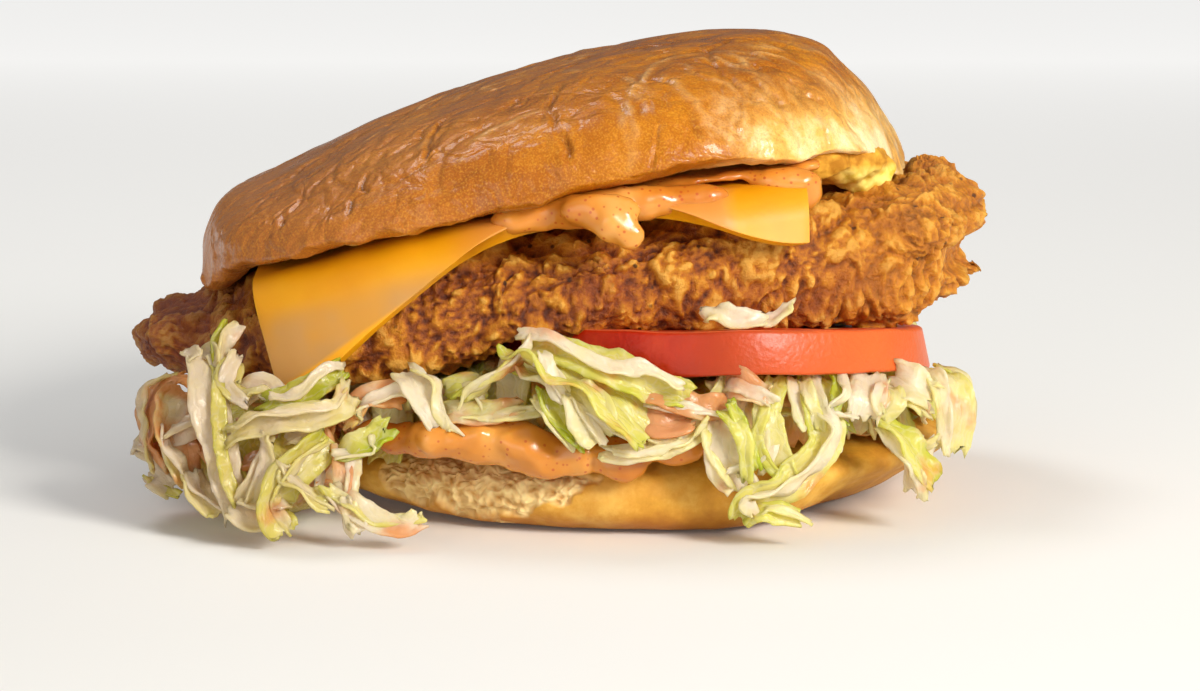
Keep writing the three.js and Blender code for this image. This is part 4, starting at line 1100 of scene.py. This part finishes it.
def strip(
    path, wide, lean=0.0, rise=0.0, twist=0.0, curl=0.12, ruffle=0.7, green=0.5, sauced=0.0, fine=0.65, seed=1
):
    """A strip of leaf along a path. Its width points in the direction lean, an angle seen from above, and
    is tilted up by the angle rise. The size of its grid is fine, in mm."""
    points = [Vector(p) for p in path]
    length = sum((b - a).length for a, b in zip(points, points[1:]))
    along = max(12, int(length / fine))
    across = max(5, int(wide / fine))
    waves = length / random.Random(seed).uniform(5.5, 8.0)

    def place(u, v):
        here = line_point(points, v)
        ahead = (line_point(points, min(1, v + 0.02)) - line_point(points, max(0, v - 0.02))).normalized()
        side = Vector((math.cos(lean) * math.cos(rise), math.sin(lean) * math.cos(rise), math.sin(rise)))
        side = (side - ahead * side.dot(ahead)).normalized()
        up = ahead.cross(side)
        turn = twist * (v - 0.5) + 0.25 * noise.noise(Vector((v * 3, seed, 0)))
        side, up = side * math.cos(turn) + up * math.sin(turn), up * math.cos(turn) - side * math.sin(turn)
        s = 2 * u - 1
        half = wide / 2 * (0.6 + 0.4 * math.sin(math.pi * (0.1 + 0.82 * v)) ** 0.7)
        half *= 1 + 0.35 * noise.noise(Vector((v * length / 6, seed * 1.7, s)))
        half += 0.28 * noise.noise(Vector((v * length / 1.4, seed * 2.9, 2 * s)))
        edge = abs(s) ** 1.6
        lift = curl * wide * (s * s - 0.4)
        sway = 2.5 * noise.noise(Vector((v * 3, seed * 2.3, 5)))
        size = 0.55 + 0.9 * noise.noise(Vector((v * length / 9, seed * 0.7, s)))
        lift += ruffle * size * edge * math.sin(2 * math.pi * waves * v + seed + 1.3 * s + sway)
        lift += 0.9 * noise.noise(Vector((v * length / 4, s * wide / 5 + seed, seed)))
        lift += 0.3 * noise.noise(Vector((v * length / 1.7, s * wide / 2.4, seed * 1.3)))
        end = 2.2 * noise.noise(Vector((s * wide / 2.5, seed, v * 9))) * abs(2 * v - 1) ** 6
        point = here + side * s * half + up * lift + ahead * end
        point.z = max(point.z, LOWEST_STRIP)
        return point

    obj = grid_piece("strip", across, along, place)
    count = len(obj.data.vertices)
    draw = random.Random(seed)
    row = across + 1
    uv = np.array([((v / row) / (along + 1), (v % row) / row) for v in range(count)])
    rib = draw.uniform(0.1, 0.9)
    rib_gap = np.abs(uv[:, 1] - rib)
    tips = 0.12 * (2 * np.abs(uv[:, 0] - 0.5)) ** 3
    store(obj, "tint", np.clip(green * 0.8 + 0.28 * (rib_gap - 0.35) + tips, 0, 1))
    flat = np.stack([uv[:, 1] * wide, uv[:, 0] * length, np.full(count, seed * 3.7)], axis=1)
    store(obj, "leaf", flat)
    store(obj, "sauce", np.full(count, sauced))
    return obj


def join_strips(name, strips):
    """Makes all strips one piece with a leaf's thickness."""
    made = [strip(**{"seed": i + 1, **one}) for i, one in enumerate(strips)]
    choose(*made)
    bpy.ops.object.join()
    obj = made[0]
    obj.name = name
    apply_modifier(obj, "SOLIDIFY", thickness=LEAF_THICK * MM, offset=0)
    shade_smooth(obj)
    return obj


# %% The strips that show at the front
def laid(wide, lean, path, **more):
    """One row of a table of strips: width in mm, lean, line, and what differs from a plain strip."""
    return dict(path=path, wide=wide, lean=lean, **more)


FRONT_STRIPS = [
    # the pile that spilled off the heel at the left
    laid(7.5, 1.9, [(-64.2, -30, 21.6), (-67.9, -33, 20.4), (-69, -37, 16.9), (-68.2, -40, 12.3),
        (-65.6, -42, 9.3)], green=0.15, sauced=0.9, twist=0.3),
    laid(5.5, 0.6, [(-63.6, -36, 20.3), (-64.9, -41, 19.2), (-65.2, -44, 15.9), (-63.1, -46, 12.4),
        (-61.7, -46, 8.6)], green=0.1, sauced=0.45, twist=0.5),
    laid(3.5, 1.3, [(-60.3, -44, 17.4), (-62.9, -45, 15.7), (-65.8, -43, 14.6)], rise=0.95, green=0.05,
        sauced=0.2, twist=0.4),
    laid(2.8, 1.4, [(-67.7, -38, 9.8), (-69.8, -36, 10.9), (-71.3, -35, 12), (-71.8, -35, 10.7)], rise=0.95,
        green=0, twist=0.8),
    laid(4, 1.2, [(-68.9, -38, 8.5), (-67, -41, 7.6), (-64.9, -43, 6.7)], rise=0.95, green=0, ruffle=1),
    laid(5, 0.6, [(-61.7, -46, 10.1), (-59.8, -49, 7.4), (-56.4, -51, 4.7)], green=0.2, twist=0.5),
    laid(5.4, 0.05, [(-60.2, -43, 27.6), (-58.7, -48.5, 22), (-56.9, -51, 15.7), (-55.2, -52.5, 9.6),
        (-53.5, -53, 4.1)], green=0.05, twist=0.25, curl=0.06, ruffle=0.35),
    laid(2.6, 1.2, [(-60.7, -42, 26.8), (-58.3, -44, 27.8), (-57.5, -46, 26)], rise=0.95, green=0.1),
    laid(2.6, 0.5, [(-56.4, -40, 31.3), (-57.2, -43, 28.7), (-56.5, -45, 25.5)], green=0.75, twist=0.6),
    laid(4, 0.6, [(-54.7, -44, 26.6), (-55.9, -47, 23.3), (-52.7, -49, 21.3)], green=0.45, twist=0.6),
    laid(4.2, 1.3, [(-54, -46, 20.8), (-50.5, -47, 22.8), (-47.6, -49, 21.6)], rise=0.95, green=0.05,
        ruffle=1),
    laid(4.4, 1.4, [(-50.2, -50, 20.9), (-45.7, -50.5, 22.2), (-41.7, -49, 23.8), (-38.4, -47, 25.8)],
        rise=0.95, green=0.85, twist=0.7, ruffle=0.9),
    laid(4.4, 1.5, [(-55.4, -52, 16.2), (-49.9, -53.5, 18.5), (-44, -53, 19.4), (-38.6, -51, 20.2),
        (-37.3, -48, 22.4)], rise=0.95, green=0.3, twist=0.25, curl=0.1),
    laid(2.6, 0.3, [(-49.1, -53, 16.6), (-50.2, -54, 12.3), (-53.3, -54, 6.9)], green=0.15, twist=0.3),
    laid(5, 0.3, [(-48.8, -50, 15.5), (-46.1, -51, 13.4), (-45.1, -52, 9.8)], green=0.6, twist=0.3),
    laid(5, 0.3, [(-44, -49, 17.6), (-42.3, -50.5, 14.1), (-43.7, -52, 9.8)], green=0.2, sauced=0.85),
    laid(6.2, 0.55, [(-40.1, -51, 15.7), (-43.7, -54, 13.2), (-47.1, -56.5, 9.2), (-48.2, -57, 6),
        (-46.5, -57.2, 2.9)], green=0.6, twist=0.3, curl=0.08),
    laid(5.2, 1, [(-46.6, -55, 11.9), (-43.8, -56.5, 8.9), (-40, -57, 6.8)], green=0.35, twist=0.4),
    laid(5, 1.3, [(-54.5, -54, 6.4), (-51.4, -55, 5), (-48.4, -56, 4.6)], rise=0.95, green=0.05, twist=0.2),
    laid(3, 0.2, [(-38.9, -51, 14.8), (-38, -53.5, 11.6), (-38.4, -55, 7.4)], green=0.1, sauced=0.5,
        twist=0.4),
    laid(4, 1.2, [(-40.1, -55, 9.2), (-37.1, -56.5, 7), (-33.2, -57, 5), (-29.4, -57.5, 3.9),
        (-26.6, -57, 4.8)], rise=0.95, green=0, sauced=0.35, twist=0.5),
    laid(3.4, 0.2, [(-37.4, -56, 7.6), (-36.2, -57, 5.4), (-35.7, -57.5, 3.1)], green=0, sauced=0.3),
    laid(4.4, 1.3, [(-38.6, -52, 14), (-35.8, -52.5, 15), (-33.5, -52, 16.5), (-31.5, -51, 18.1)],
        rise=0.95, green=0.7, twist=0.5, ruffle=1),
    laid(4.6, 1.4, [(-38.1, -48, 17.4), (-35.6, -46.5, 20.9), (-32.2, -46, 21.7), (-29.2, -46.5, 21.2)],
        rise=0.95, green=0.2, sauced=0.7, twist=0.4),
    # the middle
    laid(4.6, 0.2, [(-29.4, -45, 25.2), (-27.5, -47.5, 23.5), (-25.6, -49.5, 20.8), (-24.1, -50.5, 17.4)],
        green=0, twist=0.2, curl=0.1),
    laid(4.6, 1.4, [(-23.4, -46, 22), (-20.6, -47, 23.4), (-17.6, -48, 21.8)], rise=0.95, green=0.6,
        ruffle=1),
    laid(3.6, 1, [(-20.4, -50, 21.5), (-16.3, -51, 24.7), (-12.6, -51.5, 27.2), (-10.4, -50, 29.5)],
        green=0.45, twist=0.5),
    laid(3.6, 1.4, [(-25.4, -48, 18.4), (-21.6, -49, 19.5), (-16.4, -50, 19.4), (-11.9, -50, 20.9)],
        rise=0.95, green=0.3, sauced=0.5),
    laid(10.5, 0.9, [(-11.6, -48, 28.4), (-8.1, -52, 27.6), (-2.9, -54, 25.2), (2.6, -55, 21.7),
        (7.3, -55.5, 17.1)], green=0.55, ruffle=1, twist=0.2, curl=0.1),
    laid(5.6, 1.25, [(-11.9, -49, 29.2), (-6.5, -51.5, 29.3), (0.6, -53, 27), (7.1, -53.5, 24.5),
        (13.3, -53, 22.4)], rise=0.95, green=0.6, ruffle=0.9, twist=0.3),
    laid(7, 0.2, [(-4.4, -55, 24.2), (-1.8, -56.5, 20.9), (0.6, -56.5, 16.7)], green=0.25, twist=0.4,
        ruffle=0.8),
    laid(3.2, 0.3, [(-9.1, -54, 28.2), (-7, -56, 25.9), (-5.3, -56.5, 22.7)], green=0),
    laid(5, 0.4, [(-8.1, -53, 23.6), (-5.9, -55, 20.6), (-1.5, -55.5, 15.6)], green=0.8, twist=0.4),
    laid(4, 1.4, [(5.9, -53, 23.8), (10.6, -53.5, 22.1), (15.6, -53, 20.9), (19.9, -51, 21.1)], rise=0.95,
        green=0.15, sauced=0.55, twist=0.3),
    laid(3.4, 1.3, [(0.3, -54.5, 14.5), (5.3, -55.5, 14.1), (10.6, -55, 15.5), (16, -53, 18.5)], rise=0.95,
        green=0.15, twist=0.6, sauced=0.2),
    laid(4.6, 1.4, [(5.9, -53, 19.1), (9.4, -54, 18.3), (13.3, -53.5, 19.1)], rise=0.95, green=0.05,
        sauced=0.7),
    # the right, hanging from under the tomato
    laid(6.8, 0.15, [(20, -47, 22.8), (18.1, -52, 18.9), (18.6, -54.5, 14.1), (21, -54.5, 9.1)], green=0,
        sauced=0.3, twist=0.25, ruffle=0.6),
    laid(4.2, 0.3, [(24.6, -51, 18.7), (24.8, -53.5, 15.5), (22.5, -54, 11.7)], green=0.05, sauced=0.2),
    laid(2, 0.2, [(19.1, -54, 22.2), (21.1, -56, 17.8), (23.1, -56, 12.4)], green=0.75, ruffle=0.3),
    laid(5, 1.3, [(17.3, -47, 24.6), (20.7, -51, 23.8), (24.8, -53, 22.7)], rise=0.95, green=0.15,
        ruffle=1.2, sauced=0.25),
    laid(4.4, 0.15, [(26.4, -46, 24.2), (24.9, -52, 20.4), (25.7, -53.5, 15.4), (27.9, -53, 10.3)],
        green=0.5, twist=0.3),
    laid(6, 0.3, [(31.9, -44, 24.1), (33, -50, 19.7), (32.9, -52, 14.7), (28.4, -54, 9.9), (22.4, -55, 6.5),
        (21, -55.3, 4.2)], green=0.5, twist=0.2, curl=0.08),
    laid(3.8, 1.4, [(21.3, -55.5, 4.5), (24.7, -56.5, 5.9), (29.3, -55, 4.5)], rise=0.95, green=0.55,
        twist=0.2),
    laid(3.4, 0.2, [(29.4, -45, 24), (29.7, -50, 21.2), (30.5, -52, 17.4)], green=0.1),
    laid(2.2, 0.5, [(34.7, -43, 24.6), (35.5, -48, 22.1), (34.5, -50, 19.4), (36.6, -49.5, 17.2)],
        green=0.9, twist=1.2),
    laid(2.6, 0.3, [(36.2, -47, 18.3), (35.2, -48.5, 15.8), (35, -48.5, 13.4)], green=0.05),
    laid(6, 0.2, [(40.5, -42, 24.1), (39.8, -47, 21.6), (39.1, -48.5, 18.5)], green=0, sauced=0.25,
        ruffle=0.5),
    laid(4.6, 0.7, [(43.4, -40, 22.2), (44.3, -44, 20.5), (42.7, -45, 17.6)], green=0.3, sauced=0.3,
        ruffle=1),
    laid(5, 0.8, [(41.9, -44, 17.4), (45.4, -45.5, 15.5), (48.2, -45.5, 11.9), (51.1, -44, 7.6)], green=0.6,
        twist=0.3),
    laid(6, 1.3, [(44.6, -37, 22.9), (47.7, -40, 22.2), (50.7, -40, 20.1)], rise=0.95, green=0.1,
        ruffle=1.3),
    laid(8.5, 0.5, [(50.5, -33, 23.2), (53.8, -37, 22), (55.2, -38.5, 17.2), (53.9, -38, 11.6)], green=0.25,
        twist=0.3, ruffle=0.9),
    laid(6, 0.9, [(53, -28, 22.7), (57.1, -30, 21.4), (58, -31, 16.9), (56.8, -31, 11.8)], green=0.35,
        twist=0.3),
    laid(4.4, 0.3, [(50.1, -41, 13.8), (48.3, -41.5, 9.8), (47.8, -41, 6)], green=0, twist=0.3),
]


FRONTMOST_SHRED, LOWEST_SHRED = -56.8, 1.5


def thin_shreds(strips, seed):
    """A narrow shred beside each wide strip, a little in front of it and turned another way."""
    draw = random.Random(seed)
    made = []
    for one in strips:
        aside, above = draw.uniform(-2.2, 2.2), draw.uniform(-1.5, 1.5)
        path = [
            (
                x + aside + draw.uniform(-1.2, 1.2),
                max(y - draw.uniform(0.3, 1.6), FRONTMOST_SHRED),
                max(z + above + draw.uniform(-1.2, 1.2), LOWEST_SHRED),
            )
            for x, y, z in one["path"]
        ]
        green = draw.choice((0.0, 0.0, 0.15, 0.3, 0.6))
        lean = one.get("lean", 0) + draw.uniform(-0.6, 0.6)
        rise = one.get("rise", 0) * draw.uniform(0.6, 1)
        wide, twist = draw.uniform(1.3, 2.5), draw.uniform(-1.4, 1.4)
        made.append(laid(wide, lean, path, rise=rise, twist=twist, green=green))
    return made


front_strips = join_strips("lettuce_front", FRONT_STRIPS + thin_shreds(FRONT_STRIPS, 8))
front_places, _ = points_of(front_strips)
front_places[:, 0] -= 0.13 * np.maximum(front_places[:, 0] - 48, 0)
front_places[:, 1] += 0.12 * np.maximum(-50 - front_places[:, 1], 0)
set_points(front_strips, front_places)
print("front strips:", 2 * len(FRONT_STRIPS))

# %% [markdown]
# The rest of the heap follows a rule: strips lie round the rim of the core, some along it and some hanging
# over it, and others are draped over the spilled mound. The draw is seeded, so it comes out alike each
# time.


# %% Strips round the rim and on the mound
def rim_strips(seed, count, start, end):
    draw = random.Random(seed)
    made = []
    for i in range(count):
        angle = start + (end - start) * (i + draw.random()) / count

        def rim(a, out):
            return HEAP_X + (HEAP_WIDE + out) * math.cos(a), HEAP_Y + (HEAP_DEEP + out) * math.sin(a)

        low, high = room(*rim(angle, -4))
        green = draw.choice((0.1, 0.25, 0.45, 0.6, 0.75))
        sauced = draw.choice((0, 0, 0.2, 0.5))
        if i % 2:
            level = draw.uniform(low + 1, max(high - 1, low + 1.2))
            span = draw.uniform(0.18, 0.34)
            path = [
                (*rim(angle + span * t, draw.uniform(-0.5, 1.6)), level + draw.uniform(-1.4, 1.4))
                for t in (0, 0.33, 0.66, 1)
            ]
            lean = angle + math.pi + draw.uniform(-0.5, 0.5)
            rise = draw.uniform(0.6, 1.2)
            wide = draw.uniform(3.5, 6)
        else:
            drop = draw.uniform(3, 10)
            path = [
                (*rim(angle, -7), high - 0.6),
                (*rim(angle + 0.02, -1), high - 0.8),
                (*rim(angle + 0.04, 2.2), high - 0.35 * drop - 1),
                (*rim(angle + 0.05, draw.uniform(2.5, 4.5)), max(high - drop - 2, LOWEST_SHRED)),
            ]
            lean = angle + math.pi / 2 + draw.uniform(-0.4, 0.4)
            rise = 0
            wide = draw.uniform(4, 7)
        looks = dict(twist=draw.uniform(-0.8, 0.8), green=green, sauced=sauced)
        made.append(laid(wide, lean, path, rise=rise, fine=0.95, seed=seed * 100 + i, **looks))
    return made


def mound_strips(seed, count):
    draw = random.Random(seed)
    made = []
    for i in range(count):
        turn = draw.uniform(0, 2 * math.pi)
        rise = draw.uniform(0.15, 1.2)
        swing, fall = draw.uniform(-1.1, 1.1), draw.uniform(0.2, 0.9)
        path = []
        for t in (0, 0.35, 0.7, 1):
            a, e = turn + swing * t, max(rise - fall * t, -0.35)
            out = 1.04 + 0.06 * draw.random()
            path.append(
                (
                    MOUND_X + (MOUND_WIDE + 0.3) * out * math.cos(a) * math.cos(e),
                    MOUND_Y + (MOUND_WIDE + 0.3) * out * math.sin(a) * math.cos(e),
                    max(MOUND_Z + (MOUND_HIGH + 0.6) * out * math.sin(e) + 2 * max(0, -math.cos(a)), 1.2),
                )
            )
        green = draw.choice((0.05, 0.15, 0.3, 0.5, 0.7))
        wide, lean = draw.uniform(3, 6.5), turn + math.pi / 2 * draw.choice((0, 1))
        looks = dict(twist=draw.uniform(-0.7, 0.7), green=green, sauced=draw.choice((0, 0.3, 0.8)))
        made.append(laid(wide, lean, path, fine=0.9, seed=seed * 100 + i, **looks))
    return made


side_strips = join_strips("lettuce_sides", rim_strips(3, 60, -0.9, math.pi + 0.5))
band_strips = join_strips("lettuce_band", rim_strips(4, 34, -2.75, -0.6) + mound_strips(5, 34))
scrap_strips = join_strips(
    "lettuce_scraps",
    [
        laid(3.2, 1.5, [(15.6, -47.2, 33.4), (17.5, -48, 34.4), (20, -48.2, 33.3), (24.6, -47.6, 33.3)],
            rise=0.9, green=0.02, ruffle=1.7, seed=77),
        laid(2.6, 1.2, [(23.8, -47.4, 32.9), (26, -47.2, 33.4), (28.4, -46.6, 35.4)],
            rise=0.7, green=0.05, ruffle=1.2, seed=78),
    ],
)


# %% [markdown]
# An iceberg leaf lets light through, so its shader mixes a glossy surface with a translucent one. Fine
# veins run through it, the tint attribute leads from white to yellow green, and the sauce attribute lays
# thin patches of sauce on the strips that took some.


# %% The leaf's finish
def leaf_finish():
    look = Finish("iceberg lettuce leaf", Roughness=0.24, IOR=1.4, Coat_Weight=0.25, Coat_Roughness=0.12)
    white, cream, pale = (0.28, "#FDF3D8"), (0.5, "#F9F0B0"), (0.7, "#F2EC86")
    uneven = look.shifted(look.noise(190.0, 5.0), 0.55, look.kept("tint"))
    colour = look.ramp(uneven, white, cream, pale, (0.88, "#E0E05A"), (1.0, "#C8D238"))
    leaf_place = look.kept("leaf", "Vector")
    wobble = look.noise(0.5, 3.0, place=leaf_place, output="Color")
    wavy = look.vectors("MULTIPLY_ADD", wobble, (2.2, 2.2, 0.0), leaf_place)
    stretched = look.vectors("MULTIPLY", wavy, (0.85, 0.3, 1.0))
    veins = look.scatter(1.0, stretched, "DISTANCE_TO_EDGE")
    colour = look.mix(look.spread(veins, 0.12, 0.0, 0.28), colour, "#FFFBEA")
    smear = look.ease(look.shifted(look.kept("sauce"), 0.4, look.noise(130.0, 3.0)), 0.58, 0.78, 0.85)
    colour = look.mix(smear, colour, "#F2A862")
    # darker and warmer towards the left end: partly sauce, partly painted shade
    colour = look.mix(look.ease(look.axis("X"), -0.022, -0.045, 0.25), colour, "#C08C50")
    crinkles = look.bump(look.noise(800.0, 4.0), 0.4, 0.0004)
    ribbed = look.bump(veins, 0.45, 0.0007, crinkles)
    look.set(Base_Color=colour, Normal=ribbed)
    look.soft(0.2, (0.004, 0.004, 0.002), 0.4)
    through = look.add("ShaderNodeBsdfTranslucent", "BSDF", {"Color": colour, "Normal": ribbed})
    shaders = {"Fac": 0.5, 1: look.shader.outputs["BSDF"], 2: through}
    blend = look.add("ShaderNodeMixShader", "Shader", shaders)
    look.fill(look.material.node_tree.nodes["Material Output"], {"Surface": blend})
    return look.material


leaf_material = leaf_finish()
finish_piece(core, leaf_material, "lettuce", "lettuce")
for piece in (front_strips, side_strips, band_strips):
    finish_piece(piece, leaf_material, "lettuce")
finish_piece(scrap_strips, leaf_material, "lettuce", "lettuce_scrap")
